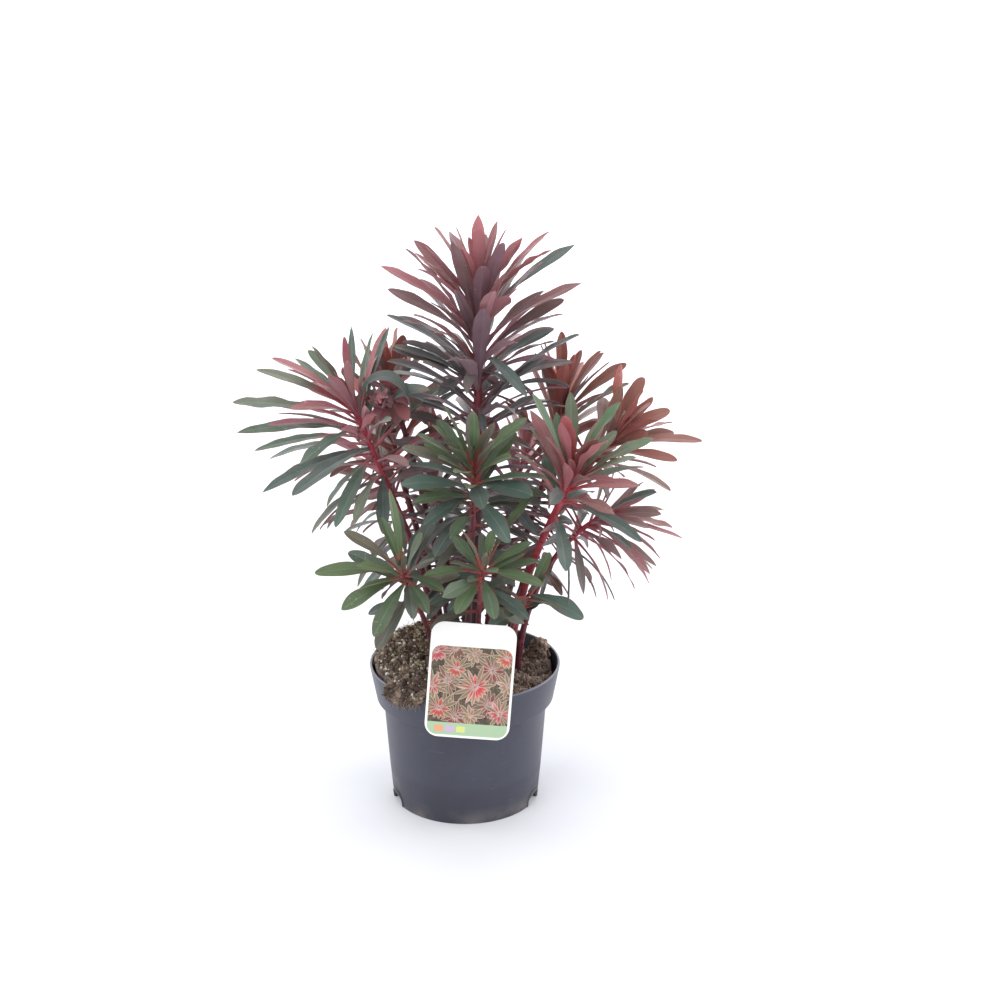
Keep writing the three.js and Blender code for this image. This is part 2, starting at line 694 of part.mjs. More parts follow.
// Places one leaf, turned, bent and then shortened until it is clear of what is there already.
function placeLeaf(shoot, curve, plan) {
  const { degrees, twist } = STRAY;
  for (let attempt = 0; attempt < STRAY.tries; attempt++) {
    const spread = attempt * STRAY.step;
    const last = attempt > STRAY.lastTries;
    const leaf = {
      ...plan,
      azimuth: plan.azimuth + draw(-degrees, degrees) + spread * draw(-1, 1),
      open: plan.open + draw(-degrees, degrees) + STRAY.stepOpen * spread * draw(-1, 1),
      length: plan.length * draw(...STRAY.length) * (last ? STRAY.lastLength : 1),
      width: plan.width * draw(...STRAY.width) * (last ? STRAY.lastWidth : 1),
      twist: draw(-twist, twist),
      curl: plan.curl * draw(...STRAY.curl),
    };
    if (plan.tip) {
      const shift = new THREE.Vector3(draw(-1, 1), draw(-1, 1), draw(-1, 1));
      leaf.tip = plan.tip.clone().addScaledVector(shift, STRAY.stepTip * spread);
      leaf.midrib = aimedLeaf(shoot, curve, leaf);
    } else {
      leaf.midrib = grownLeaf(shoot, curve, leaf);
    }
    const samples = leafSamples(leaf);
    if (samples.some((sample) => blocked(sample, shoot, plan.crowned))) continue;
    for (const { at, outer } of samples) leafCrowd.add(at, 0, shoot, outer);
    return leaf;
  }
  return null;
}

// Every leaf of a shoot: the aimed ones, and then the others from the lowest up.
function plannedLeaves(shoot) {
  const { lerp } = THREE.MathUtils;
  const plans = shoot.aimed.map(([share, tip, width]) => ({
    share, tip: new THREE.Vector3(...tip), width, spoon: shoot.spoon,
    azimuth: 0, open: 0, length: 0, droop: 0, curl: 0, crowned: false,
  }));
  for (let i = 0; i < shoot.leaves; i++) {
    const rank = (i + 0.5) / shoot.leaves;
    const climb = 1 - (1 - rank) ** GROWTH.climb;
    const early = lerp(GROWTH.lowest, 1, 2 * rank);
    const late = lerp(1, shoot.young, 2 * rank - 1);
    plans.push({
      share: lerp(shoot.bare, GROWTH.top, climb),
      azimuth: shoot.turn + i * LEAF.turn,
      open: lerp(shoot.open[1], shoot.open[0], (1 - rank) ** GROWTH.opening),
      length: shoot.length * (rank < 0.5 ? early : late),
      width: shoot.width * (1 - GROWTH.narrowing * rank ** GROWTH.narrowingPower),
      spoon: shoot.spoon,
      droop: shoot.droop * (1 - GROWTH.stiffening * rank),
      curl: lerp(...GROWTH.curl, rank),
      crowned: rank > GROWTH.crowned,
    });
  }
  return plans;
}

// A faceted blade: thin box-shaped sections along the midrib, with both faces split alike.
function bladeGeometry(leaf) {
  const rings = [...LEAF.sections, LEAF.steps].map((step) => {
    const { point, side } = leaf.midrib[step];
    const from = leaf.midrib[Math.max(step - 1, 0)].point;
    const to = leaf.midrib[Math.min(step + 1, LEAF.steps)].point;
    const up = to.clone().sub(from).normalize().cross(side).multiplyScalar(LEAF.thickness / 2);
    const half = side.clone().multiplyScalar(halfWidth(step / LEAF.steps, leaf.width, leaf.spoon));
    return [
      point.clone().sub(half).sub(up),
      point.clone().add(half).sub(up),
      point.clone().add(half).add(up),
      point.clone().sub(half).add(up),
    ];
  });
  return loft(rings, [2]);
}

// The stem and its leaves as one body.
function shootGeometry(shoot, curve, leaves) {
  const stem = solidOf(loft(stemRings(shoot, curve, 0)));
  const blades = leaves.map((leaf) => solidOf(bladeGeometry(leaf)));
  return geometryOf(wasm.Manifold.union([stem, ...blades]));
}

// ---- soil ---------------------------------------------------------------------------------------

function smooth(share) {
  const s = Math.min(Math.max(share, 0), 1);
  return s * s * (3 - 2 * s);
}

// The uneven surface of the peat, as a height from -1.5 to 1.5 or so.
function lumps(x, y) {
  const broad = Math.sin(0.19 * x + 0.7) * Math.sin(0.17 * y + 1.9);
  const fine = 0.6 * Math.sin(0.43 * x - 0.27 * y) + 0.4 * Math.sin(0.31 * x + 0.52 * y + 2);
  return broad + fine;
}

// The height of the soil's surface.
function soilTop(x, y) {
  const raised = smooth((SOIL.riseFrom - x) / (SOIL.riseFrom - SOIL.riseTo));
  const edge = potInside(GAP)[0][0];
  const outward = smooth(1 - (edge - Math.hypot(x, y)) / SOIL.shoulderWidth);
  const clump = Math.exp(-((x - CLUMP.at[0]) ** 2 + (y - CLUMP.at[1]) ** 2) / (2 * CLUMP.spread ** 2));
  const body = SOIL.level - SOIL.forward * y + SOIL.rise * raised - SOIL.shoulder * raised * outward;
  return body + CLUMP.height * clump + SOIL.relief * lumps(x, y);
}

// A level circle of points, lifted to heightAt(x, y).
function ringOf(radius, count, heightAt) {
  return Array.from({ length: count }, (_, j) => {
    const angle = (j * 360 * DEG) / count;
    const [x, y] = [radius * Math.cos(angle), radius * Math.sin(angle)];
    return new THREE.Vector3(x, y, heightAt(x, y));
  });
}

// The clump of peat that hangs over the rim, with the plastic cut away from it.
function spillSolid() {
  const clump = new THREE.SphereGeometry(1, ...SPILL.sides).rotateX(90 * DEG);
  clump.scale(...SPILL.radii).translate(...SPILL.at);
  const place = clump.attributes.position;
  for (let i = 0; i < place.count; i++) {
    const swell = 1 + SPILL.swell * lumps(SPILL.fine * place.getX(i), SPILL.fine * place.getZ(i));
    place.setXY(
      i,
      SPILL.at[0] + (place.getX(i) - SPILL.at[0]) * swell,
      SPILL.at[1] + (place.getY(i) - SPILL.at[1]) * swell,
    );
  }
  const outside = potOutside().map(([radius, height]) => [radius + GAP, height + (height > 0 ? GAP : 0)]);
  const around = [...outside.slice(2), ...potInside(GAP).slice(0, 3), outside[2]];
  const wall = turned(around, POT.sides);
  return solidOf(clump).subtract(solidOf(wall));
}

// The root ball up to its surface, with the clump, and with holes for the stems and a slot for the label.
function soilGeometry(stems, label) {
  const inside = potInside(3 * GAP);
  const edge = inside[0][0];
  const rings = [];
  for (const [radius, height] of inside.slice(1).reverse()) {
    rings.push(ringOf(radius, SOIL.spokes, () => height));
  }
  for (let i = 0; i < SOIL.rings; i++) {
    const radius = (edge - SOIL.back) * (1 - (i / SOIL.rings) ** SOIL.crowding);
    rings.push(ringOf(radius, SOIL.spokes, soilTop));
  }
  rings.push([new THREE.Vector3(0, 0, soilTop(0, 0))]);
  let soil = solidOf(loft(rings)).add(spillSolid());
  for (const stem of stems) soil = soil.subtract(stem);
  return geometryOf(soil.subtract(label));
}

// ---- the potted plant ---------------------------------------------------------------------------

// Each shoot with the curve of its stem and its placed leaves.
function leafyShoots() {
  const curves = SHOOTS.map(stemCurve);
  SHOOTS.forEach((shoot, n) => {
    for (let i = 0; i <= CLEAR.stemSamples; i++) {
      const share = i / CLEAR.stemSamples;
      stemCrowd.add(curves[n].getPoint(share), THREE.MathUtils.lerp(...shoot.radius, share), shoot, true);
    }
  });
  return SHOOTS.map((shoot, n) => {
    const plans = plannedLeaves(shoot);
    const leaves = plans.map((plan) => placeLeaf(shoot, curves[n], plan)).filter((leaf) => leaf !== null);
    return { shoot, curve: curves[n], leaves };
  });
}

function piece(name, geometry, finish) {
  const mesh = new THREE.Mesh(geometry, new THREE.MeshStandardMaterial({ metalness: 0, ...finish }));
  mesh.name = name;
  return mesh;
}

function pottedEuphorbia() {
  const plant = new THREE.Group();
  const slot = placeLabel(new THREE.Group());
  const slotCutter = solidOf(tongueGeometry(2 * GAP).applyMatrix4(slot.matrix));
  const shoots = leafyShoots();
  const holes = shoots.map(({ shoot, curve }) => {
    const rings = stemRings(shoot, curve, STEM.holeGap).slice(0, STEM.ringsInSoil);
    return solidOf(loft(rings));
  });
  plant.add(piece("pot", potGeometry(), FINISH.pot));
  plant.add(piece("soil", soilGeometry(holes, slotCutter), FINISH.soil));
  plant.add(placeLabel(piece("label", labelGeometry(), FINISH.label)));
  for (const { shoot, curve, leaves } of shoots) {
    const finish = { ...FINISH.leaf, color: shoot.colour };
    plant.add(piece(`shoot_${shoot.name}`, shootGeometry(shoot, curve, leaves), finish));
  }
  return plant;
}

export default pottedEuphorbia();
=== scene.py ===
import math
import random

import bpy
import numpy as np
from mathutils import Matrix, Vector


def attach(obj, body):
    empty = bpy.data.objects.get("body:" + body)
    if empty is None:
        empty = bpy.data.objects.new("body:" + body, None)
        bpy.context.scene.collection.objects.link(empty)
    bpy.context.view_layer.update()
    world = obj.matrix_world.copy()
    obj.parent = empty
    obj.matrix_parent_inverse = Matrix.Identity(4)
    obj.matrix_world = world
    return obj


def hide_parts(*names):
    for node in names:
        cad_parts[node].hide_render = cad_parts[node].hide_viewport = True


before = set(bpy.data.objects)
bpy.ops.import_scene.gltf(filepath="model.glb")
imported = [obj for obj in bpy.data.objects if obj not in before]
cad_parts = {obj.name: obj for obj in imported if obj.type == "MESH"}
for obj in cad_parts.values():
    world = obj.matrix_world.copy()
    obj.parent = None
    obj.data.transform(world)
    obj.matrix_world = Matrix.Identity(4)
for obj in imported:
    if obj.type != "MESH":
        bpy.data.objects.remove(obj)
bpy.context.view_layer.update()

MM = 0.001
UP = np.array([0.0, 0.0, 1.0])

# ---- camera, as the photograph was taken ----

CAMERA = {"at": (0.035, -1.6498, 0.8814), "tilt": 71.0, "lens": 64.8}


def add_camera():
    data = bpy.data.cameras.new("camera")
    data.lens = CAMERA["lens"]
    data.sensor_width = 36.0
    camera = bpy.data.objects.new("camera", data)
    camera.location = CAMERA["at"]
    camera.rotation_euler = (math.radians(CAMERA["tilt"]), 0.0, 0.0)
    bpy.context.collection.objects.link(camera)
    bpy.context.scene.camera = camera


# ---- the solids' own dimensions, repeated ----

GAP = 0.4
POT = {
    "height": 144, "rim": 95, "band": 36, "band_bottom": 88.5, "wall_top": 82, "middle": (76.6, 33.5),
    "foot": 73.5, "foot_width": 2.8, "wall": 1.8, "lip": 2.4, "channel": 6, "centre": 26, "slope": 4,
}
NOTCH = {"angles": (68, 112, 248, 292), "width": 23, "height": 11}
DRAIN = {"count": 6, "circle": 49, "radius": 5.5}
SOIL = {
    "level": 134, "forward": 0.06, "rise": 21, "rise_from": 4, "rise_to": -34, "shoulder": 12,
    "shoulder_width": 16, "relief": 1.8, "back": 4.5,
}
SPILL = {"at": (-52, -78, 146), "radii": (23, 18, 10)}
CLUMP = {"at": (76, 32), "height": 13, "spread": 10}
# loose peat that only shows here: mounds, as place, height and spread, and a pile against the rim
LOOSE = {"mounds": [((-46, 34), 8, 30), ((-82, -24), 6, 22)], "pile": 10, "rim_gap": 2.5}
LABEL = {
    "width": 81, "height": 113, "corner": 13, "thickness": 0.9, "x": 5.5, "below_rim": 36, "lean": 8,
    "turn": 4.5, "stand_off": 2.2, "tongue_width": 15, "tongue_from": 22, "tongue_back": 9,
    "tongue_depth": 24,
}
STEM = {"foot": 116, "rings": 7, "lift": 0.38, "pull": 0.3}
LEAF = {
    "turn": 137.508, "steps": 20, "tip_share": 0.975, "foot": 2.4, "sink": 0.4, "blunt": 0.55,
    "arch": 0.12, "roll": 0.9, "tries": 16, "shrink_after": 9, "shrunk": (0.75, 0.85),
}
LEAF_SEED = 7
# How a shoot's leaves change by rank, from 0 for its lowest leaf to 1 for its last: how fast they climb
# and to which share of the stem, how fast they close in, how long the lowest are and how that grows, how
# much narrower and stiffer the last are, their curl, and the rank from which they may touch.
RANKED = {
    "climb": 1.3, "highest": 0.995, "close_in": 0.85, "low_length": (0.8, 0.4), "narrower": 0.45,
    "stiffer": 0.8, "curl": (0.35, 0.05), "crowned": 0.92,
}
CLEAR = {
    "others": 5.4, "siblings": 2.6, "stems": 3.4, "outer_from": 0.25, "across": (-1, -0.5, 0, 0.5, 1),
    "soil": 170, "floor": 118, "pot_radius": 110, "stem_samples": 60,
    "label_low": (-44, -114), "label_high": (55, -78, 229), "top": 2000,
}

# ---- leaves that only show here ----

MORE_SEED = 23
MORE_CLEAR = {
    **CLEAR, "others": 2.8, "siblings": 1.5, "stems": 1.8, "soil": 205, "pot_radius": 190, "top": 570,
}
# More leaves by a rule, in bands up a stem: how many, from and to which share of it, their angle to the
# stem at both ends of the band, their length as a share of the shoot's, and how old they are.
MORE = {
    "tall": [(32, (0.14, 0.42), (100, 80), 0.62, 1.0), (60, (0.4, 0.8), (74, 46), 0.8, 0.9),
             (9, (0.78, 0.975), (46, 24), 0.82, 0.35)],
    "left": [(12, (0.36, 0.7), (112, 92), 0.72, 1.0), (20, (0.68, 0.97), (86, 26), 0.78, 0.3)],
    "nodding": [(14, (0.4, 0.85), (100, 80), 1.1, 0.8), (10, (0.84, 0.98), (70, 30), 0.8, 0.2)],
    "back_left": [(18, (0.34, 0.74), (104, 70), 0.72, 0.9), (16, (0.74, 0.97), (60, 14), 0.8, 0.3)],
    "front_middle": [(14, (0.36, 0.76), (112, 92), 0.72, 1.0), (14, (0.76, 0.97), (84, 24), 0.78, 0.4)],
    "right": [(6, (0.58, 0.78), (104, 88), 0.66, 1.0), (16, (0.76, 0.97), (78, 24), 0.78, 0.3)],
    "back_right": [(16, (0.32, 0.74), (104, 70), 0.74, 0.9), (15, (0.74, 0.97), (62, 16), 0.8, 0.3)],
    "far_right": [(12, (0.36, 0.76), (104, 76), 0.72, 0.9), (8, (0.76, 0.97), (70, 20), 0.8, 0.3)],
    "low_right": [(6, (0.62, 0.78), (100, 84), 0.8, 1.0), (16, (0.78, 0.97), (84, 40), 0.95, 0.3)],
    "low_left": [(10, (0.34, 0.74), (112, 96), 0.7, 1.0), (6, (0.76, 0.97), (92, 30), 0.7, 0.5)],
    "low_middle": [(10, (0.34, 0.76), (112, 96), 0.8, 1.0), (6, (0.76, 0.97), (92, 30), 0.8, 0.5)],
    "inner": [(16, (0.2, 0.56), (108, 84), 0.72, 1.0), (18, (0.52, 0.97), (80, 20), 0.8, 0.5)],
    "skirt": [(4, (0.4, 0.9), (108, 60), 0.66, 0.9)],
    "rear_left": [(8, (0.24, 0.5), (108, 90), 0.7, 1.0), (14, (0.5, 0.97), (84, 22), 0.8, 0.5)],
    "rear_right": [(8, (0.24, 0.5), (108, 90), 0.7, 1.0), (14, (0.5, 0.97), (84, 22), 0.8, 0.5)],
    "rear_low": [(12, (0.3, 0.97), (108, 30), 0.75, 0.7)],
}
# How wide those are, as a share of the shoot's leaves, where it isn't the usual share.
MORE_WIDTH = {"low_right": 0.42, "left": 0.66, "far_right": 0.7, "back_right": 0.7, "tall": 0.76}
USUAL_WIDTH = 0.8
# Their first azimuth from the shoot's, the step to the next band's, and their other looks. straight: the
# opening at which one droops as the shoot's own do. younger: by how much, up a band.
BANDED = {"turn": 60, "next": 80, "straight": 60, "curl": 0.25, "younger": 0.25, "flushed": 0.6}
FRONT = 270  # the azimuth of the side towards the camera
# Bands that are placed last, where the crowns still let the light through.
FILL = {
    "tall": [(20, (0.6, 0.82), (118, 84), 0.42, 0.9)],
    "back_left": [(12, (0.56, 0.92), (98, 44), 0.66, 0.6)],
    "inner": [(8, (0.4, 0.8), (104, 70), 0.7, 0.9)],
}
# Up to this share of a stem, none of them grows within so many degrees of the front.
FRONT_GAP = {"tall": (0.74, 46), "right": (0.86, 75)}
# More leaves with a place of their own: share of the stem, tip, width, and how old they are.
AIMED_MORE = {
    "tall": [(0.9, (-34, -22, 552), 14, 0.2), (0.84, (-22, -38, 520), 17, 0.3),
             (0.86, (50, -34, 534), 13, 0.3),
             (0.74, (-64, -30, 474), 13, 1.0), (0.7, (-36, -42, 462), 14, 1.0),
             (0.66, (76, -30, 462), 12, 1.0), (0.68, (112, -22, 474), 12, 1.0),
             (0.62, (-52, -36, 430), 12, 1.0), (0.6, (74, -34, 420), 12, 1.0)],
    "left": [(0.97, (-140, -48, 440), 9, 0.0), (0.98, (-118, -40, 452), 10, 0.0),
             (0.985, (-106, -38, 462), 8, 0.0), (0.95, (-160, -50, 420), 10, 0.1),
             (0.9, (-150, -70, 372), 12, 0.8)],
    "back_left": [(0.9, (-70, 42, 474), 17, 0.2), (0.88, (-58, 30, 470), 16, 0.4),
                  (0.92, (-88, 40, 458), 15, 0.1), (0.86, (-60, 46, 452), 15, 0.6)],
    "front_middle": [(0.97, (30, -96, 420), 13, 0.1), (0.92, (-20, -112, 392), 15, 0.4)],
    "right": [(0.97, (126, -100, 404), 19, 0.0), (0.98, (94, -88, 424), 14, 0.0),
              (0.93, (160, -88, 386), 14, 0.2)],
    "back_right": [(0.92, (72, 34, 446), 15, 0.4), (0.94, (98, 44, 440), 15, 0.2),
                   (0.9, (120, 34, 428), 14, 0.5)],
    "far_right": [(0.94, (150, 0, 428), 15, 0.3), (0.92, (184, 8, 388), 14, 0.2)],
    "inner": [(0.97, (-29, 30, 437), 15, 0.3), (0.98, (-41, 40, 431), 13, 0.3),
              (0.95, (-60, 10, 364), 14, 0.3), (0.96, (-46, 16, 362), 14, 0.4),
              (0.99, (-12, 24, 410), 13, 0.3)],
    "low_right": [(0.97, (176, -48, 302), 10, 0.0), (0.97, (200, -30, 296), 9, 0.0),
                  (0.95, (186, -60, 320), 11, 0.2), (0.92, (168, -62, 258), 10, 0.4)],
}
# Leaves that bow over in an arc of their own: its points from root to tip, width, the direction across
# the blade, and how old they are.
BOWED = {
    "nodding": [(((-97, -30, 408), (-98, -42, 456), (-56, -46, 464), (-48, -42, 418)), 13, (0, 1, 1), 1.0),
                (((-98, -40, 386), (-94, -50, 404), (-80, -54, 416)), 12, (0.6, 1, 0.8), 0.0),
                (((-74, -20, 412), (-56, -40, 440), (-30, -44, 436)), 11, (0, 1, 1), 1.0)],
}
# The rolled young leaves of the nodding crown: a closed bunch that faces forward, in rings that close in.
BUNCH = {
    "shoot": "nodding", "count": 22, "centre": (-75, -24, 425), "inner": 2.0, "outer": (21, 7),
    "squash": 0.85, "reach": (14, 30), "width": (13, 8), "top_at": 0.55, "closing": 0.15,
}


def shoot(name, mood, base, crown, heading, radius, leaves, bare, length, young, width, opening,
          droop, spoon, turn, aimed):
    """One leafy shoot. aimed: leaves with a place of their own, as (share of the stem, tip, width)."""
    return {
        "name": name, "mood": mood, "base": base, "crown": crown, "heading": heading, "radius": radius,
        "leaves": leaves, "bare": bare, "length": length, "young": young, "width": width,
        "open": opening, "droop": droop, "spoon": spoon, "turn": turn, "aimed": aimed,
    }


SHOOTS = [
    shoot("tall", "mauve", (10, 0), (15, 8, 526), (0, 0, 1), (6.5, 3),
          35, 0.62, 116, 0.45, 15, (56, 8), 0.5, 1.6, 20,
          [(0.99, (15, 5, 590), 14), (0.95, (-25, -5, 580), 13), (0.91, (-45, 10, 565), 13),
           (0.87, (-75, -10, 545), 12), (0.84, (-70, 5, 520), 12), (0.77, (-70, -15, 500), 12),
           (0.73, (-65, -25, 470), 12), (0.93, (80, 0, 575), 12), (0.9, (105, 15, 560), 12),
           (0.84, (110, -15, 530), 12), (0.8, (95, 5, 510), 14), (0.76, (85, -10, 485), 12),
           (0.72, (20, -55, 515), 19), (0.86, (20, -35, 550), 16), (0.85, (40, -40, 545), 15),
           (0.82, (-5, -45, 530), 18), (0.82, (60, -65, 435), 12)]),
    shoot("left", "grey_green", (-24, -2), (-104, -20, 420), (-0.3, -0.1, 1), (4, 2.6),
          16, 0.68, 108, 0.6, 14, (96, 10), 0.35, 1.8, 60,
          [(0.91, (-215, -30, 420), 14), (0.88, (-210, -45, 395), 12), (0.86, (-200, -5, 365), 12),
           (0.82, (-185, -70, 345), 15), (0.82, (-160, -85, 345), 17), (0.95, (-195, -5, 445), 13),
           (0.96, (-175, -40, 465), 15), (0.98, (-145, -10, 465), 14), (0.99, (-105, 5, 485), 11),
           (0.8, (-120, -55, 305), 16), (0.72, (-75, -60, 300), 14)]),
    shoot("nodding", "nodding", (-12, 12), (-71, -16, 424), (0.1, -1, -0.2), (3.6, 2.4),
          15, 0.78, 44, 0.6, 10, (70, 25), 0.5, 1.7, 10,
          [(0.93, (-50, -40, 405), 12)]),
    shoot("back_left", "russet", (-20, 24), (-75, 60, 402), (0, 0.1, 1), (3.8, 2.4),
          13, 0.74, 98, 0.6, 15, (70, 8), 0.3, 1.8, 200,
          [(0.98, (-65, 60, 470), 15), (0.97, (-90, 60, 455), 12), (0.96, (-80, 0, 440), 10)]),
    shoot("front_middle", "green", (2, -26), (11, -70, 372), (0, -0.3, 1), (3.4, 2.2),
          14, 0.76, 82, 0.6, 16, (104, 12), 0.3, 2, 100,
          [(0.97, (-15, -80, 430), 16), (0.95, (-40, -100, 410), 14), (0.93, (-55, -75, 390), 19),
           (0.98, (50, -75, 425), 14), (0.9, (20, -130, 350), 16), (0.9, (65, -95, 350), 19),
           (0.85, (-35, -90, 320), 14)]),
    shoot("right", "crimson", (43, -12), (104, -60, 360), (0.4, -0.3, 1), (4.6, 3),
          13, 0.76, 90, 0.6, 15, (96, 10), 0.35, 1.9, 140,
          [(0.96, (60, -55, 440), 14), (0.99, (100, -50, 435), 14), (0.97, (90, -95, 420), 14),
           (0.96, (145, -65, 430), 15), (0.97, (130, -105, 405), 20), (0.93, (50, -70, 420), 12),
           (0.92, (50, -105, 390), 12), (0.94, (175, -80, 400), 12)]),
    shoot("back_right", "russet", (32, 20), (96, 60, 392), (0.1, 0.1, 1), (3.8, 2.4),
          13, 0.74, 96, 0.6, 15, (74, 8), 0.35, 1.8, 80,
          [(0.98, (95, 65, 465), 13), (0.96, (75, 50, 455), 12), (0.98, (115, 70, 445), 12),
           (0.96, (135, 40, 450), 12), (0.94, (160, 75, 430), 12)]),
    shoot("far_right", "russet", (40, 6), (148, 20, 374), (0.7, 0, 0.8), (3.8, 2.4),
          13, 0.74, 84, 0.6, 15, (84, 8), 0.4, 1.9, 0,
          [(0.98, (170, 30, 440), 16), (0.99, (150, 15, 445), 12), (0.97, (175, 5, 415), 14),
           (0.95, (200, 30, 395), 14), (0.93, (230, 10, 370), 14), (0.9, (205, -5, 355), 14)]),
    shoot("low_right", "pink", (52, 0), (136, -22, 306), (0.9, -0.1, 0.5), (3.6, 2.2),
          13, 0.66, 84, 0.6, 12, (88, 12), 0.6, 1.7, 30,
          [(0.95, (210, -30, 285), 9), (0.9, (185, -40, 260), 10), (0.93, (180, -70, 345), 16),
           (0.97, (195, 10, 300), 11), (0.85, (150, -60, 275), 14), (0.8, (115, -50, 235), 12)]),
    shoot("low_left", "green", (-24, -28), (-55, -93, 276), (-0.2, -0.6, 1), (3.2, 2),
          10, 0.74, 78, 0.6, 15, (104, 14), 0.2, 2, 90,
          [(0.97, (-135, -110, 280), 15), (0.93, (-110, -125, 250), 14), (0.9, (-80, -140, 230), 16),
           (0.92, (-30, -135, 250), 13), (0.96, (-15, -120, 265), 13), (0.99, (-65, -105, 360), 14),
           (0.95, (-110, -80, 310), 13), (0.96, (-25, -85, 320), 14)]),
    shoot("low_middle", "green", (12, -32), (20, -103, 284), (0.1, -0.5, 1), (3, 2),
          9, 0.76, 62, 0.6, 14, (108, 14), 0.25, 2.1, 45,
          [(0.96, (75, -115, 270), 15), (0.95, (65, -95, 305), 13), (0.9, (30, -135, 245), 14),
           (0.92, (-5, -135, 250), 15), (0.95, (-35, -115, 280), 12), (0.98, (0, -115, 325), 13),
           (0.99, (45, -95, 340), 12)]),
    shoot("inner", "mauve", (-6, 26), (-31, 52, 352), (0, 0.1, 1), (3.6, 2.4),
          15, 0.52, 78, 0.6, 15, (84, 10), 0.45, 1.8, 150, []),
    shoot("skirt", "green", (34, -30), (64, -52, 238), (0.5, -0.4, 1), (2.8, 1.8),
          6, 0.6, 64, 0.6, 17, (98, 30), 0.5, 2.1, 120,
          [(0.97, (115, -55, 212), 19), (0.95, (42, -104, 234), 17)]),
    shoot("rear_left", "grey_green", (-22, 42), (-88, 104, 318), (-0.4, 0.5, 1), (3.4, 2.2),
          15, 0.5, 84, 0.6, 15, (98, 12), 0.45, 1.8, 70, []),
    shoot("rear_right", "grey_green", (20, 42), (62, 116, 330), (0.3, 0.5, 1), (3.4, 2.2),
          15, 0.5, 84, 0.6, 15, (98, 12), 0.45, 1.8, 15, []),
    shoot("rear_low", "green", (0, 52), (-12, 124, 246), (-0.1, 0.7, 1), (3, 2),
          11, 0.6, 70, 0.6, 15, (100, 16), 0.3, 2, 110, []),
]

# ---- colours, as sRGB values from 0 to 255 ----

# upper and under: the two faces of a leaf, each as (old, young). blush: the red of its foot, and flush
# the least and most share of its length that it takes up. strays: the colours of the odd leaves, old
# ones and young ones, and straying the share of such leaves.
MOOD_KEYS = ("upper", "under", "blush", "flush", "strays", "straying")
MOODS = {name: dict(zip(MOOD_KEYS, row)) for name, *row in [
    ("mauve", ((80, 99, 96), (146, 94, 94)), ((142, 117, 128), (172, 102, 104)), (140, 66, 80),
     (0.12, 0.32), (((68, 90, 86), (72, 92, 88), (112, 84, 84)), ((150, 88, 84),)), 0.34),
    ("grey_green", ((68, 96, 84), (80, 106, 82)), ((124, 108, 112), (170, 94, 106)), (172, 82, 97),
     (0.2, 0.62), (((60, 84, 80), (76, 96, 80)), ((168, 92, 102), (96, 98, 78))), 0.26),
    ("crimson", ((66, 90, 84), (76, 112, 78)), ((130, 100, 106), (170, 82, 91)), (172, 50, 63),
     (0.14, 0.46), (((60, 84, 80), (60, 84, 78)), ((104, 118, 74), (168, 92, 98))), 0.24),
    ("nodding", ((84, 110, 100), (158, 72, 82)), ((112, 104, 104), (152, 82, 90)), (112, 82, 82),
     (0.1, 0.3), (((66, 88, 82),), ((118, 84, 86),)), 0.2),
    ("russet", ((82, 82, 76), (136, 82, 74)), ((118, 92, 88), (150, 84, 80)), (140, 66, 66),
     (0.12, 0.36), (((78, 84, 74), (108, 80, 74)), ((158, 80, 70), (120, 88, 70))), 0.24),
    ("green", ((60, 82, 71), (76, 100, 61)), ((92, 98, 92), (112, 102, 88)), (176, 60, 58),
     (0.14, 0.42), (((46, 66, 66), (50, 70, 66), (88, 84, 72)), ((80, 104, 60),)), 0.4),
    ("pink", ((84, 106, 100), (136, 106, 104)), ((142, 118, 120), (160, 104, 108)), (168, 82, 94),
     (0.2, 0.55), (((70, 94, 86),), ((152, 98, 102),)), 0.3),
    ("dark", ((62, 86, 80), (66, 92, 82)), ((92, 104, 100), (96, 104, 98)), (130, 66, 74),
     (0.05, 0.12), (((62, 86, 80),),) * 2, 0.1),
    ("dusk", ((110, 86, 96), (118, 86, 94)), ((118, 90, 101), (124, 88, 98)), (124, 66, 78),
     (0.1, 0.2), (((112, 84, 90),),) * 2, 0.1),
]}
# A shoot's finish, its stem at the soil and under the crown, and its leaves' midrib, edge and bloom.
SKIN_KEYS = ("slot", "stem", "leaf")
SKINS = {name: dict(zip(SKIN_KEYS, row)) for name, *row in [
    ("mauve", "mauve_leaf", ((62, 38, 42), (120, 42, 58)),
     ((172, 138, 146), (118, 58, 66), (140, 122, 136))),
    ("grey_green", "grey_green_leaf", ((88, 36, 48), (158, 46, 66)),
     ((168, 160, 146), (130, 66, 72), (136, 140, 138))),
    ("crimson", "crimson_leaf", ((108, 30, 42), (170, 42, 58)),
     ((176, 160, 146), (132, 58, 66), (140, 136, 138))),
    ("nodding", "crimson_leaf", ((70, 34, 42), (112, 50, 60)),
     ((168, 120, 124), (120, 50, 60), (128, 104, 112))),
    ("russet", "russet_leaf", ((74, 34, 42), (124, 48, 54)),
     ((180, 124, 104), (124, 58, 52), (150, 112, 102))),
    ("green", "green_leaf", ((66, 34, 42), (126, 54, 60)),
     ((150, 162, 126), (118, 66, 62), (112, 120, 116))),
    ("pink", "mauve_leaf", ((84, 36, 46), (162, 52, 68)),
     ((182, 150, 150), (132, 62, 72), (150, 132, 140))),
]}
TAN = (120, 104, 82)
WHITE = (1, 1, 1, 1)  # also the tint of a piece whose paint brings all its colours


def linear(colour):
    """An sRGB colour from 0 to 255 as linear light."""
    share = np.asarray(colour, float) / 255.0
    return np.where(share <= 0.04045, share / 12.92, ((share + 0.055) / 1.055) ** 2.4)


def rgba(colour):
    return (*linear(colour), 1.0)


# ---- the solids' layout of stems and leaves, by the same rule ----


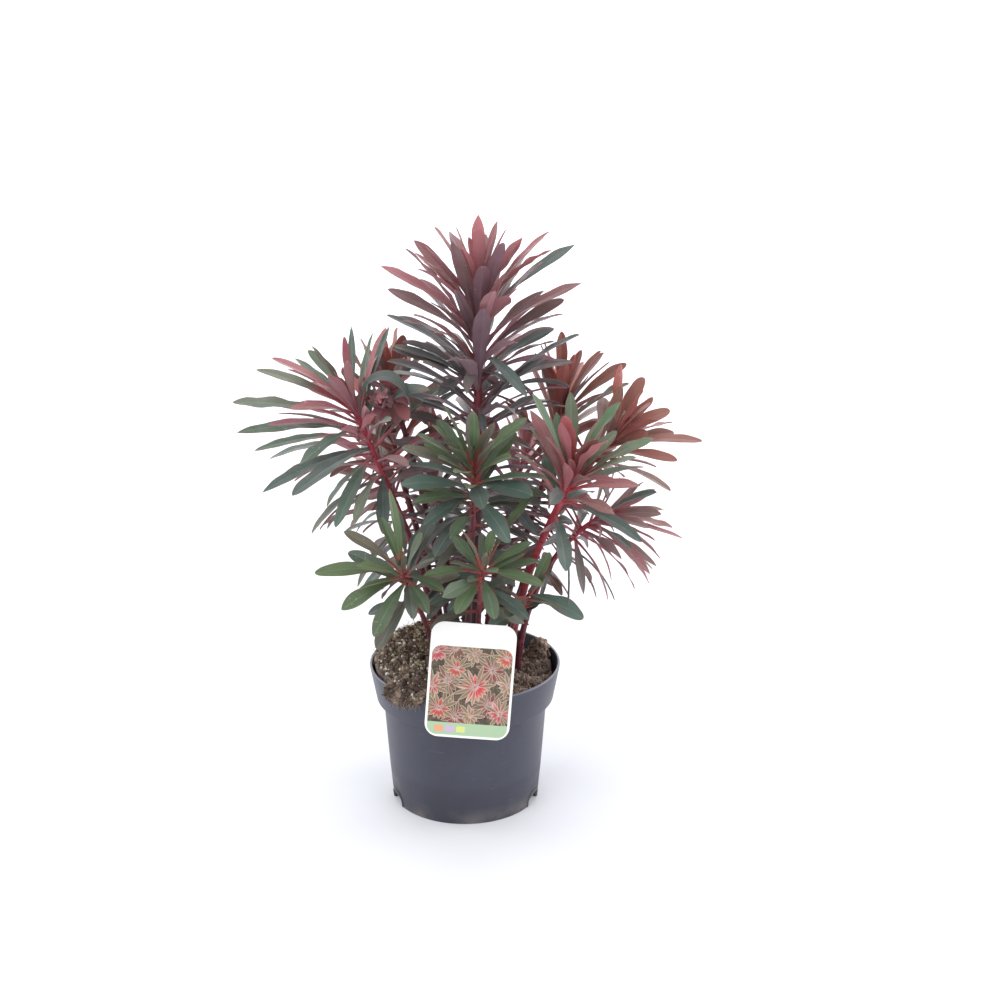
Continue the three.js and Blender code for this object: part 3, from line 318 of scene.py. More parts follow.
class Sequence:
    """The same repeatable numbers that place the leaves of the solids."""

    def __init__(self, seed):
        self.seed = seed

    def draw(self, low, high):
        self.seed = (self.seed * 1664525 + 1013904223) % 4294967296
        return low + (high - low) * self.seed / 4294967296


def unit(vector):
    return vector / np.linalg.norm(vector)


def lerp(a, b, share):
    return a + (b - a) * share


def smooth(share):
    s = np.clip(share, 0.0, 1.0)
    return s * s * (3 - 2 * s)


def stem_points(stem):
    base = np.array([*stem["base"], STEM["foot"]], float)
    crown = np.array(stem["crown"], float)
    heading = unit(np.array(stem["heading"], float))
    reach = np.linalg.norm(crown - base)
    return [base, base + UP * STEM["lift"] * reach, crown - heading * STEM["pull"] * reach, crown]


def bezier(points, share):
    rest = 1.0 - share
    if len(points) == 3:
        weights = (rest**2, 2 * rest * share, share**2)
    else:
        weights = (rest**3, 3 * rest**2 * share, 3 * rest * share**2, share**3)
    return sum(w * p for w, p in zip(weights, points))


def tangent(points, share):
    low, high = max(share - 0.0001, 0.0), min(share + 0.0001, 1.0)
    return unit(bezier(points, high) - bezier(points, low))


def cross_axes(axis, near=(1.0, 0.0, 0.0)):
    """Two directions square to axis, the first as close to near as it goes."""
    east = unit(np.array(near) - axis * np.dot(axis, near))
    return east, np.cross(axis, east)


def outward(axis, degrees):
    """A direction square to axis, at an angle round it."""
    east, north = cross_axes(axis)
    angle = math.radians(degrees)
    return east * math.cos(angle) + north * math.sin(angle)


def on_stem(points, share):
    below = min(math.floor(share * STEM["rings"]), STEM["rings"] - 1)
    start = bezier(points, below / STEM["rings"])
    return lerp(start, bezier(points, (below + 1) / STEM["rings"]), share * STEM["rings"] - below)


def full_width(t, width, spoon):
    peak = spoon / (1 + spoon)
    blunt = LEAF["blunt"]
    return width / 2 * (t / peak) ** (blunt * spoon) * ((1 - t) / (1 - peak)) ** blunt


def half_width(share, width, spoon):
    t = min(share, LEAF["tip_share"])
    return max(full_width(t, width, spoon), LEAF["foot"] / 2 * (1 - t) ** 0.5)


def grown_leaf(stem, points, leaf):
    """A leaf's midrib and the direction across it, for a leaf that grows by the rule."""
    axis = tangent(points, leaf["share"])
    out, opening = outward(axis, leaf["azimuth"]), math.radians(leaf["open"])
    side = np.cross(axis, out)
    direction = axis * math.cos(opening) + out * math.sin(opening)
    point = on_stem(points, leaf["share"]) + out * LEAF["sink"] * stem["radius"][1]
    steps = LEAF["steps"]
    midrib = []
    for step in range(steps + 1):
        midrib.append((point, side))
        t = (step + 0.5) / steps
        face = np.cross(direction, side)
        direction = direction - face * leaf["curl"] / steps
        direction = unit(direction - UP * 2 * t * leaf["droop"] / steps)
        side = side + face * leaf["twist"] / steps
        side = unit(side - direction * np.dot(side, direction))
        point = point + direction * leaf["length"] / steps
    return midrib


def leaf_along(arc, side_at):
    """The same along an arc, from a direction that is near enough across it at each share."""
    midrib = []
    for step in range(LEAF["steps"] + 1):
        t = step / LEAF["steps"]
        direction, side = tangent(arc, t), side_at(t)
        midrib.append((bezier(arc, t), unit(side - direction * np.dot(side, direction))))
    return midrib


def aimed_leaf(stem, points, leaf):
    """The same for a leaf that is aimed at a point."""
    start = on_stem(points, leaf["share"])
    reach = leaf["tip"] - start
    across = unit(np.array([-reach[1], reach[0], 0.0]))
    out = unit(np.array([reach[0], reach[1], 0.0]))
    root = start + out * LEAF["sink"] * stem["radius"][1]
    top = lerp(root, leaf["tip"], 0.45) + UP * LEAF["arch"] * np.linalg.norm(reach)
    return leaf_along([root, top, leaf["tip"]], lambda t: across + UP * across[1] * LEAF["roll"] * t)


def bowed_leaf(arc, across):
    """The same for a leaf that bows over in an arc of its own."""
    across = unit(np.array(across, float))
    return leaf_along([np.array(p, float) for p in arc], lambda t: across)


def leaf_samples(leaf):
    samples, outer = [], []
    for step in range(2, LEAF["steps"] + 1):
        t = step / LEAF["steps"]
        point, side = leaf["midrib"][step]
        half = half_width(t, leaf["width"], leaf["spoon"])
        for share in CLEAR["across"]:
            samples.append(point + side * share * half)
            outer.append(t > CLEAR["outer_from"])
    return np.array(samples), np.array(outer)


def too_near(samples, others, least):
    """True if any sample is nearer than least to any of the others."""
    if not len(samples) or not len(others):
        return False
    margin = np.max(least)
    low, high = samples.min(axis=0) - margin, samples.max(axis=0) + margin
    inside = np.all((others > low) & (others < high), axis=1)
    if not inside.any():
        return False
    least = least[inside] if np.ndim(least) else least
    apart = np.linalg.norm(samples[:, None] - others[None, inside], axis=2)
    return bool((apart < least).any())


def blocked(samples, outer, name, crowned, stems, placed, clear):
    x, y, z = samples.T
    lowest = np.where(np.hypot(x, y) < clear["pot_radius"], clear["soil"], clear["floor"])
    low, high = clear["label_low"], clear["label_high"]
    by_label = (x > low[0]) & (x < high[0]) & (y > low[1]) & (y < high[1]) & (z < high[2])
    if (z < lowest).any() or (z > clear["top"]).any() or by_label.any():
        return True
    for other, (centres, radii) in stems.items():
        checked = samples[outer] if other == name else samples
        if too_near(checked, centres, radii + clear["stems"]):
            return True
    for other, points, outer_points in placed:
        if other != name:
            if too_near(samples, points, clear["others"]):
                return True
        elif not crowned and too_near(samples[outer], points[outer_points], clear["siblings"]):
            return True
    return False


def aimed_plan(stem, share, tip, width, age):
    """The plan of a leaf with a place of its own."""
    return {
        "share": share, "tip": np.array(tip, float), "width": width, "spoon": stem["spoon"], "age": age,
        "crowned": False, **dict.fromkeys(("azimuth", "open", "length", "droop", "curl"), 0.0),
    }


def planned_leaves(stem):
    """A shoot's aimed leaves, and then the others from the lowest up."""
    bare = stem["bare"]
    plans = [
        aimed_plan(stem, share, tip, width, 1 - smooth((share - bare) / (1 - bare)))
        for share, tip, width in stem["aimed"]
    ]
    for i in range(stem["leaves"]):
        rank = (i + 0.5) / stem["leaves"]
        climb = 1 - (1 - rank) ** RANKED["climb"]
        low = RANKED["low_length"][0] + RANKED["low_length"][1] * rank
        late = 1 - (1 - stem["young"]) * (2 * rank - 1)
        plans.append({
            "share": bare + (RANKED["highest"] - bare) * climb,
            "azimuth": stem["turn"] + i * LEAF["turn"],
            "open": lerp(*reversed(stem["open"]), (1 - rank) ** RANKED["close_in"]),
            "length": stem["length"] * (low if rank < 0.5 else late),
            "width": stem["width"] * (1 - RANKED["narrower"] * rank**3),
            "spoon": stem["spoon"],
            "droop": stem["droop"] * (1 - RANKED["stiffer"] * rank),
            "curl": RANKED["curl"][0] * (1 - rank) + RANKED["curl"][1],
            "crowned": rank > RANKED["crowned"],
            "age": 1 - rank,
        })
    return plans


def aimed_more(stem):
    """Leaves that only show here and have a place of their own."""
    return [aimed_plan(stem, *row) for row in AIMED_MORE.get(stem["name"], [])]


def banded_leaves(stem, bands):
    """Leaves that only show here, in bands up the stem between the placed ones."""
    plans = []
    for band, (count, shares, openings, length, age) in enumerate(bands.get(stem["name"], [])):
        for i in range(count):
            rank = (i + 0.5) / count
            opening = lerp(*openings, rank)
            azimuth = stem["turn"] + BANDED["turn"] + BANDED["next"] * band + i * LEAF["turn"]
            gap_to, gap = FRONT_GAP.get(stem["name"], (0, 0))
            if lerp(*shares, rank) < gap_to and abs((azimuth - FRONT + 180) % 360 - 180) < gap:
                continue
            plans.append({
                "share": lerp(*shares, rank),
                "azimuth": azimuth,
                "open": opening,
                "length": stem["length"] * length,
                "width": stem["width"] * MORE_WIDTH.get(stem["name"], USUAL_WIDTH),
                "spoon": stem["spoon"],
                "droop": stem["droop"] * opening / BANDED["straight"],
                "curl": BANDED["curl"],
                "crowned": False,
                "age": age * (1 - BANDED["younger"] * rank),
                "flushed": BANDED["flushed"],
            })
    return plans


def bunch_leaves():
    """The rolled bunch of the nodding crown, as rows like those of BOWED."""
    centre = np.array(BUNCH["centre"], float)
    rng = random.Random(BUNCH["shoot"])
    rows = []
    for i in range(BUNCH["count"]):
        angle = math.radians(i * LEAF["turn"] + rng.uniform(-25, 25))
        out = np.array([math.cos(angle), 0.0, math.sin(angle) * BUNCH["squash"]])
        share = (i + 0.5) / BUNCH["count"]
        reach = np.array([0.0, lerp(*BUNCH["reach"], share) * rng.uniform(0.8, 1.2), 0.0])
        wide = lerp(*BUNCH["outer"], share) * rng.uniform(0.75, 1.15)
        sideways = np.array([-out[2], 0.0, out[0]])
        top = centre + out * wide - reach * BUNCH["top_at"]
        tip = centre + out * wide * BUNCH["closing"] - reach + sideways * rng.uniform(-6, 6)
        across = sideways + np.array([0.0, rng.uniform(-0.5, 0.5), 0.0])
        arc = (centre + out * BUNCH["inner"], top, tip)
        rows.append((arc, lerp(*BUNCH["width"], share), across, 0.5 * (1 - share)))
    return rows


def free_leaves(name):
    """The leaves of a shoot that bow over, and the rolled bunch of the nodding crown."""
    rows = list(BOWED.get(name, []))
    if name == BUNCH["shoot"]:
        rows += bunch_leaves()
    return [
        {"midrib": bowed_leaf(arc, across), "width": width, "spoon": 1.5, "age": age,
         "mood": "dark" if age == 1.0 else name}
        for arc, width, across, age in rows
    ]


def place_leaf(stem, points, plan, sequence, stems, placed, clear=CLEAR):
    """Places one leaf as in the solids, or returns None where they have none."""
    draw = sequence.draw
    for attempt in range(LEAF["tries"]):
        spread = attempt * 3
        shorter, slimmer = LEAF["shrunk"] if attempt > LEAF["shrink_after"] else (1, 1)
        leaf = dict(plan)
        leaf["azimuth"] = plan["azimuth"] + draw(-5, 5) + spread * draw(-1, 1)
        leaf["open"] = plan["open"] + draw(-5, 5) + 0.6 * spread * draw(-1, 1)
        leaf["length"] = plan["length"] * draw(0.9, 1.05) * shorter
        leaf["width"] = plan["width"] * draw(0.88, 1.08) * slimmer
        leaf["twist"] = draw(-0.7, 0.7)
        leaf["curl"] = plan["curl"] * draw(0.6, 1.4)
        if "tip" in plan:
            shift = np.array([draw(-1, 1), draw(-1, 1), draw(-1, 1)])
            leaf["tip"] = plan["tip"] + shift * 0.7 * spread
            leaf["midrib"] = aimed_leaf(stem, points, leaf)
        else:
            leaf["midrib"] = grown_leaf(stem, points, leaf)
        samples, outer = leaf_samples(leaf)
        if blocked(samples, outer, stem["name"], plan["crowned"], stems, placed, clear):
            continue
        placed.append((stem["name"], samples, outer))
        return leaf
    return None


def stem_samples():
    """Points up each stem, with its radius there."""
    shares = np.arange(CLEAR["stem_samples"] + 1) / CLEAR["stem_samples"]
    stems = {}
    for stem in SHOOTS:
        points = stem_points(stem)
        centres = np.array([bezier(points, share) for share in shares])
        stems[stem["name"]] = (centres, lerp(*stem["radius"], shares))
    return stems


def solid_leaves(stem, points, sequence, stems, placed):
    """The leaves that a shoot's solid has, with their looks here."""
    tried = [place_leaf(stem, points, plan, sequence, stems, placed) for plan in planned_leaves(stem)]
    leaves = [leaf for leaf in tried if leaf is not None]
    for leaf in leaves:
        leaf["width"] *= SLIM.get(stem["name"], 1)
    for number, looks in OWN_LOOKS.get(stem["name"], {}).items():
        leaves[number].update(looks)
    return leaves


def add_more_leaves(shoots, stems, placed):
    """Adds the leaves that only show here, between the placed ones."""
    sequence = Sequence(MORE_SEED)
    plans = [(row, plan) for row in shoots for plan in aimed_more(row[0]) + banded_leaves(row[0], MORE)]
    plans += [(row, plan) for row in shoots for plan in banded_leaves(row[0], FILL)]
    for (stem, points, leaves), plan in plans:
        leaf = place_leaf(stem, points, plan, sequence, stems, placed, MORE_CLEAR)
        if leaf is not None:
            leaves.append(leaf)


def leafy_shoots():
    """Each shoot with the points of its stem and its leaves."""
    sequence, stems, placed, shoots = Sequence(LEAF_SEED), stem_samples(), [], []
    for stem in SHOOTS:
        points = stem_points(stem)
        shoots.append((stem, points, solid_leaves(stem, points, sequence, stems, placed)))
    add_more_leaves(shoots, stems, placed)
    for stem, _, leaves in shoots:
        leaves += free_leaves(stem["name"])
        if stem["mood"] in USUAL_BLUNT:
            for leaf in leaves:
                leaf.setdefault("blunt", USUAL_BLUNT[stem["mood"]])
    return shoots


# ---- meshes ----


def ring_faces(length, sides):
    """The faces between rings of points."""
    faces = []
    for i in range(length - 1):
        for j in range(sides):
            k = (j + 1) % sides
            faces.append((i * sides + j, i * sides + k, (i + 1) * sides + k, (i + 1) * sides + j))
    return faces


def angles_round(count):
    return np.arange(count) * math.tau / count


class Skin:
    """Gathers closed shapes, in millimetres, into the mesh of one piece."""

    def __init__(self):
        self.points, self.faces, self.slots, self.tints, self.places = [], [], [], [], []
        self.count = 0

    def add(self, points, faces, tint, place=None, slot=0):
        """tint and place are four numbers a point, or four for all of them."""
        points = np.asarray(points, float)
        ones = np.ones((len(points), 1))
        self.points.append(points)
        self.faces += [[self.count + k for k in face] for face in faces]
        self.slots += [slot] * len(faces)
        self.tints.append(np.asarray(tint, float) * ones)
        self.places.append(np.asarray((0, 0, 0, 0) if place is None else place, float) * ones)
        self.count += len(points)

    def loft(self, rings, tint, place=None, slot=0):
        """A closed skin over rings of points, counter-clockwise as seen from the last one."""
        rings = np.asarray(rings, float)
        length, sides = rings.shape[:2]
        faces = ring_faces(length, sides)
        faces.append(tuple(reversed(range(sides))))
        faces.append(tuple(range((length - 1) * sides, length * sides)))
        self.add(rings.reshape(-1, 3), faces, tint, place, slot)

    def make(self, name, materials, sharp=50.0):
        mesh = bpy.data.meshes.new(name)
        mesh.from_pydata((np.concatenate(self.points) * MM).tolist(), [], self.faces)
        for key, values in (("tint", self.tints), ("place", self.places)):
            attribute = mesh.attributes.new(key, "FLOAT_COLOR", "POINT")
            attribute.data.foreach_set("color", np.concatenate(values).ravel())
        for material in materials:
            mesh.materials.append(material)
        mesh.polygons.foreach_set("material_index", self.slots)
        mesh.polygons.foreach_set("use_smooth", [True] * len(self.faces))
        mesh.set_sharp_from_angle(angle=math.radians(sharp))
        mesh.update()
        made = bpy.data.objects.new(name, mesh)
        bpy.context.collection.objects.link(made)
        return made


def settle(made, slot, *nodes):
    """The piece rides with the pot, and takes the place of the solids named by nodes, which are hidden.
    slot: not used.
    """
    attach(made, "root")
    if nodes:
        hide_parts(*nodes)
    return made


def tube(points, radii, sides):
    """Rings round a line of points."""
    points = np.asarray(points, float)
    along = np.gradient(points, axis=0)
    angles = angles_round(sides)
    rings = []
    for point, axis, radius in zip(points, along, radii):
        axis = unit(axis)
        east, north = cross_axes(axis, (0.0, 1.0, 0.0) if abs(axis[0]) > 0.95 else (1.0, 0.0, 0.0))
        rings.append(point + radius * (np.outer(np.cos(angles), east) + np.outer(np.sin(angles), north)))
    return rings


# ---- leaves and stems ----

BLADE = {
    "stations": 22,
    "crowding": 1.6,  # how much closer the stations lie at the tip
    "across": (-1, -0.93, -0.62, -0.3, -0.1, 0, 0.1, 0.3, 0.62, 0.93, 1),
    "thickness": 0.55,
    "edge": 0.55,  # the share of the thickness that is left at the edge
    "foot_thickness": 1.7,
    "lift": 0.3,  # how far it lies over its midrib line
    "rib": 0.55,  # how far the midrib stands out below
    "rib_width": 0.9,
    "groove": 0.3,
    "tip": 0.25,  # half the width of the very tip
    "wave": 25.0,  # length of the edge's waves
    "waves": (0.1, 0.2, 0.3, 0.45, 1.1),  # their heights
    "fuller": 1.02,  # how much wider than its flat-faced solid a blade is
    "peak": (0.62, 0.76),  # where along its length it is widest
    "neck": 0.2,  # how wide its foot is, as a share of that
    "closing": (0.55, 0.7, 0.85, 1.0),  # how the tip closes: 0.5 is round, 1 is pointed
    "wide": (12, 16),  # from slim blades with any tip to wide ones with a round tip
    "stray": 0.07,  # how far the edges stray in and out, as a share of the width
    "fold": (0.1, 0.48),  # how far the halves rise to both sides of the midrib
    "flatter": 0.6,  # how much less at the tip
    "turns": (0.2, 0.4, 0.5, 1.2),  # radians by which blades turn up to the tip, either way
    "aimed_turn": 0.3,  # the same for aimed ones
}
COLOURING = {
    "shade": (0.8, 1.3),  # from dark to light leaves
    "darker": 0.12,  # by how much old leaves are
    "mixed": 0.18,  # how far the mix of old and young strays from a leaf's age
    "flushed": 0.15,  # the usual chance of a young leaf whose upper face is as its under face
    "flush": 0.85,  # how much of that colour the upper face then takes
    "old_from": 0.4,  # the age from which a leaf takes the stray colours of old leaves
    "astray": ((0.0, 0.2), (0.6, 1.0)),  # how much of a stray colour usual and stray leaves take
    "redness": (0.12, 0.9),  # the length over which the red foot fades, and its strength
    "tanning": 0.22,  # the chance of a tan end on the oldest
    "tanned": (0.15, 0.5),  # its strength
    "tan_at": (0.55, 0.4),  # where it begins, and over which length it grows
}
ROUND, DARK, DUSKY = {"blunt": 0.5}, {"mood": "dark"}, {"blunt": 0.5, "mood": "dusk"}
# Leaves of the solids with looks of their own, by their place in the shoot's list. kept: the share of
# its length that a leaf keeps.
OWN_LOOKS = {
    "tall": {0: {"blunt": 0.9, "width": 12.5}, 5: DARK, 8: DARK, 11: DARK,
             12: DUSKY, 13: DUSKY, 14: ROUND, 15: DUSKY, 16: {"mood": "dark", "blunt": 0.9}, 40: DUSKY},
    "left": {3: DARK, 4: DARK, 8: {"mood": "dark", "width": 7}, 10: DARK,
             21: {"mood": "dark", "width": 9}, 24: {"width": 7}},
    "low_left": {12: {"kept": 0.6}},
    "front_middle": {4: DARK, 5: DARK, 6: DARK, 11: DARK, 13: DARK},
    "low_right": {2: {"mood": "dark", "blunt": 0.6}},
    "skirt": {0: DARK},
}
USUAL_BLUNT = {"russet": 0.55}  # how the tips close on shoots of one kind, where no leaf has its own
SLIM = {"low_right": 0.75}  # shoots whose leaves are slimmer here than their flat solids
# scars_from: the share of the stem where they begin. scar: its radii from root to tip.
STALK = {"rings": 60, "sides": 14, "scars": 16, "scars_from": 0.14, "scar": (1.5, 1.2, 0.6)}
# The young leaves that close a crown: their number, and their sizes and angles from last to first.
BUD = {"leaves": 9, "length": (12, 30), "width": (3.2, 6), "open": (2, 22)}


def blade_colours(leaf, mood, rng):
    """The colours of a leaf's faces as functions of the share of its length."""
    rule, age = COLOURING, leaf["age"]
    shade = rng.uniform(*rule["shade"]) * (1 - rule["darker"] * age)
    mix = np.clip(1 - age + rng.uniform(-rule["mixed"], rule["mixed"]), 0, 1)
    faces = [lerp(*(linear(c) for c in mood[key]), mix) * shade for key in ("under", "upper")]
    if rng.random() < leaf.get("flushed", rule["flushed"]) * mix:
        faces[1] = lerp(faces[1], faces[0], rule["flush"])
    stray = linear(rng.choice(mood["strays"][0 if age > rule["old_from"] else 1])) * shade
    straying = mood["straying"] * min(1.0, 0.2 + 1.6 * age)
    usual, astray = rule["astray"]
    share = rng.uniform(*(astray if rng.random() < straying else usual))
    faces = [lerp(face, stray, share) for face in faces]
    blush = linear(mood["blush"]) * shade
    blush_to = lerp(*mood["flush"], rng.random() * (0.35 + 0.65 * mix))
    tan = linear(TAN)
    tanned = 0.0
    if rng.random() < rule["tanning"] * age:
        tanned = rng.uniform(*rule["tanned"])

    def colour(t, upper):
        body = lerp(faces[0], faces[1], upper[..., None])
        fade, strength = rule["redness"]
        red = (smooth((blush_to - t) / fade) * strength)[..., None]
        begin, over = rule["tan_at"]
        dull = (tanned * smooth((t - begin) / over))[..., None]
        return lerp(lerp(body, tan, dull), blush, red)

    return colour


def blade_outline(t, leaf, rng):
    """Half the width of a fine blade: a narrow neck, widest well up, and a round or pointed tip."""
    peak = rng.uniform(*BLADE["peak"])
    rise = lerp(BLADE["neck"], 1, smooth(t / peak))
    slim, wide = BLADE["wide"]
    roundness = np.clip((leaf["width"] - slim) / (wide - slim), 0, 1)
    closing = leaf.get("blunt", lerp(rng.choice(BLADE["closing"]), BLADE["closing"][0], roundness))
    past = np.clip((t - peak) / (1 - peak), 0, 1)
    return BLADE["fuller"] * leaf["width"] / 2 * rise * (1 - past**2) ** closing


def blade_frame(leaf, rng):
    """Down a blade: shares of its length, places, directions across and out of its face, and length."""
    midrib = leaf["midrib"][: round(len(leaf["midrib"]) * leaf.get("kept", 1))]
    points = np.array([point for point, _ in midrib])
    sides = np.array([side for _, side in midrib])
    shares = np.linspace(0, 1, len(points))
    t = 1 - (1 - np.linspace(0, 1, BLADE["stations"])) ** BLADE["crowding"]

    def at(values):
        return np.stack([np.interp(t, shares, values[:, k]) for k in range(3)], axis=1)

    side, direction = (
        row / np.linalg.norm(row, axis=1)[:, None] for row in (at(sides), at(np.gradient(points, axis=0)))
    )
    face = np.cross(direction, side)
    most = BLADE["aimed_turn"] if "tip" in leaf else rng.choice(BLADE["turns"])
    turn = (rng.uniform(-1, 1) * most * smooth(t))[:, None]
    side, face = side * np.cos(turn) + face * np.sin(turn), face * np.cos(turn) - side * np.sin(turn)
    length = np.linalg.norm(np.diff(points, axis=0), axis=1).sum()
    return t, at(points), side, face, length


def blade_relief(t, half, length, rng):
    """How far out the points of a blade lie, and how high on its lower and its upper face."""
    c = np.array(BLADE["across"])[None]
    out = np.abs(c)
    t, half = t[:, None], half[:, None]
    fold = rng.uniform(*BLADE["fold"]) * (1 - BLADE["flatter"] * t)
    wave = rng.choice(BLADE["waves"]) * smooth(t / 0.4) * smooth((1 - t) / 0.15)
    phase = [rng.uniform(0, math.tau) for _ in range(2)]
    turns = math.tau * length / BLADE["wave"] * rng.uniform(0.75, 1.25)
    ripple = np.where(c < 0, np.sin(turns * t + phase[0]), np.sin(turns * t + phase[1]))
    stray = BLADE["stray"] * (np.cos(turns * t * 0.8 + phase[0] * c) + ripple) / 2
    across = half * c * (1 + stray * out)
    rib = np.exp(-((across / BLADE["rib_width"]) ** 2))
    upper = fold * half * out**1.4 + wave * ripple * out**2
    upper = upper - BLADE["groove"] * rib * smooth((t - 0.05) / 0.2)
    thick = lerp(BLADE["foot_thickness"], BLADE["thickness"], smooth(t / 0.35))
    thick = thick * (1 - (1 - BLADE["edge"]) * c**2)
    return across, upper - thick - BLADE["rib"] * rib * (1 - 0.75 * t), upper


def add_blade(skin, leaf, mood, rng):
    """A fine blade along the midrib of a leaf: folded, waved, with its rib, groove and thin edge."""
    t, point, side, face, length = blade_frame(leaf, rng)
    half = blade_outline(t, leaf, rng)
    half = np.maximum(np.maximum(half, LEAF["foot"] / 2 * (1 - t) ** 0.5), BLADE["tip"])
    across, lower, upper = blade_relief(t, half, length, rng)

    def surface(height):
        offsets = side[:, None] * across[..., None] + face[:, None] * (height + BLADE["lift"])[..., None]
        return point[:, None] + offsets

    colour = blade_colours(leaf, mood, rng)
    rings = np.concatenate([surface(lower), surface(upper)[:, ::-1]], axis=1)
    whole = np.concatenate([across, across[:, ::-1]], axis=1)
    every = np.ones_like(whole)
    t_all = t[:, None] * every
    is_upper = np.repeat([0.0, 1.0], len(BLADE["across"])) * every
    edge = np.tile(np.abs(BLADE["across"]), 2) * every
    tint = np.concatenate([colour(t_all, is_upper), edge[..., None]], axis=2)
    place = np.stack([t_all * length / 100, whole / 20 + 0.5, rng.random() * every, is_upper], axis=2)
    skin.loft(rings, tint.reshape(-1, 4), place.reshape(-1, 4))


def bud_leaves(stem, points, rng):
    """The small young leaves that close a shoot's crown."""
    leaves = []
    for i in range(BUD["leaves"]):
        rank = (i + 0.5) / BUD["leaves"]
        leaf = {
            "share": 0.985 + 0.015 * rank, "azimuth": rng.uniform(0, 360) + i * LEAF["turn"],
            "open": lerp(BUD["open"][1], BUD["open"][0], rank),
            "length": lerp(BUD["length"][1], BUD["length"][0], rank) * rng.uniform(0.85, 1.1),
            "width": lerp(BUD["width"][1], BUD["width"][0], rank), "spoon": 1.4, "droop": 0.0,
            "curl": -0.35, "twist": 0.0, "age": 0.0,
        }
        leaf["midrib"] = grown_leaf(stem, points, leaf)
        leaves.append(leaf)
    return leaves


def add_stem(skin, stem, points, colours, rng):
    """A smooth round stem, with the scars of its lost leaves in a spiral up its bare part."""
    rings, sides, scars = STALK["rings"], STALK["sides"], STALK["scars"]
    shares = np.linspace(0, 1, rings)
    centres = [bezier(points, share) for share in shares]
    swell = 1 + 0.03 * np.sin(shares * 90 + stem["turn"]) + 0.02 * np.sin(shares * 37)
    radii = lerp(*stem["radius"], shares) * swell * (1 - 0.55 * smooth((shares - 0.97) / 0.03))
    low, high = (linear(c) for c in colours)
    body = lerp(low, high, smooth((shares - 0.1) / 0.75)[:, None])
    tint = np.repeat(np.concatenate([body, np.ones((rings, 1))], axis=1), sides, axis=0)
    height = np.repeat(shares * 3, sides)
    place = np.stack([height, np.tile(np.arange(sides) / sides, rings), np.full_like(height, 0.5),
                      np.zeros_like(height)], axis=1)
    skin.loft(tube(centres, radii, sides), tint, place, 1)
    dark = (*(low * 0.8), 1.0)
    for i in range(scars):
        share = lerp(STALK["scars_from"], stem["bare"] * 0.96, i / scars)
        axis = tangent(points, share)
        out = outward(axis, i * LEAF["turn"] + stem["turn"])
        radius = lerp(*stem["radius"], share)
        root = bezier(points, share) + out * radius * 0.7
        reach = radius * 0.3 + rng.uniform(0.5, 1.6)
        line = [root, root + out * reach * 0.6, root + out * reach + axis * 0.5]
        skin.loft(tube(line, STALK["scar"], 8), dark, (share * 3, 0, 0.5, 0), 1)


def add_shoot(stem, points, leaves, materials):
    rng = random.Random(stem["name"])
    look = SKINS[stem["mood"]]
    skin = Skin()
    add_stem(skin, stem, points, look["stem"], rng)
    for leaf in leaves + bud_leaves(stem, points, rng):
        add_blade(skin, leaf, MOODS[leaf.get("mood", stem["mood"])], rng)
    node = "shoot_" + stem["name"]
    settle(skin.make("fine_" + node, materials), look["slot"], node)


# ---- materials ----


class Paint:
    """One material and short ways to add its nodes."""

    def __init__(self, name, **plain):
        self.material = bpy.data.materials.new(name)
        self.material.use_nodes = True
        self.tree = self.material.node_tree
        self.shader = self.tree.nodes["Principled BSDF"]
        self.wear(**plain)

    def wear(self, **looks):
        """Feeds the shader's sockets, named as in Blender with _ for each space."""
        for key, value in looks.items():
            self.feed(self.shader.inputs[key.replace("_", " ")], value)

    def node(self, kind, inputs=(), **settings):
        made = self.tree.nodes.new("ShaderNode" + kind)
        for key, value in settings.items():
            setattr(made, key, value)
        for key, value in dict(inputs).items():
            self.feed(made.inputs[key], value)
        return made

    def feed(self, socket, value):
        if isinstance(value, bpy.types.NodeSocket):
            self.tree.links.new(value, socket)
        else:
            socket.default_value = value

    def math(self, operation, a, b=0.0):
        return self.node("Math", {0: a, 1: b}, operation=operation).outputs[0]

    def plus(self, a, b):
        return self.math("ADD", a, b)

    def minus(self, a, b):
        return self.math("SUBTRACT", a, b)

    def times(self, a, b):
        return self.math("MULTIPLY", a, b)

    def between(self, value, low, high, to_low=0.0, to_high=1.0):
        """value from low to high becomes to_low to to_high, smoothly."""
        inputs = {"Value": value, "From Min": low, "From Max": high, "To Min": to_low, "To Max": to_high}
        return self.node("MapRange", inputs, interpolation_type="SMOOTHSTEP").outputs[0]

    def mix(self, factor, a, b, blend="MIX"):
        """Two colours mixed. Three numbers are an sRGB colour, four a linear one."""
        a, b = (rgba(c) if isinstance(c, tuple) and len(c) == 3 else c for c in (a, b))
        made = self.node("Mix", {0: factor, 6: a, 7: b}, data_type="RGBA", blend_type=blend)
        return made.outputs[2]

    def coat(self, colour, value, limits, strength, other):
        """Another colour over this one, growing from the first to the second strength with a value."""
        return self.mix(self.between(value, *limits, *strength), colour, other)

    def noise(self, vector, scale, detail=2.0, roughness=0.5):
        inputs = {"Vector": vector, "Scale": scale, "Detail": detail, "Roughness": roughness}
        return self.node("TexNoise", inputs).outputs[0]

    def cells(self, vector, scale):
        return self.node("TexVoronoi", {"Vector": vector, "Scale": scale}).outputs[0]

    def stretched(self, vector, scale):
        return self.node("Mapping", {"Vector": vector, "Scale": scale}).outputs[0]

    def space(self):
        """The place on the piece, in metres."""
        return self.node("TexCoord").outputs["Object"]

    def attribute(self, name):
        return self.node("Attribute", attribute_name=name)

    def split(self, vector):
        return self.node("SeparateXYZ", {0: vector}).outputs

    def bump(self, height, distance, strength=1.0):
        inputs = {"Height": height, "Distance": distance, "Strength": strength}
        self.wear(Normal=self.node("Bump", inputs).outputs[0])


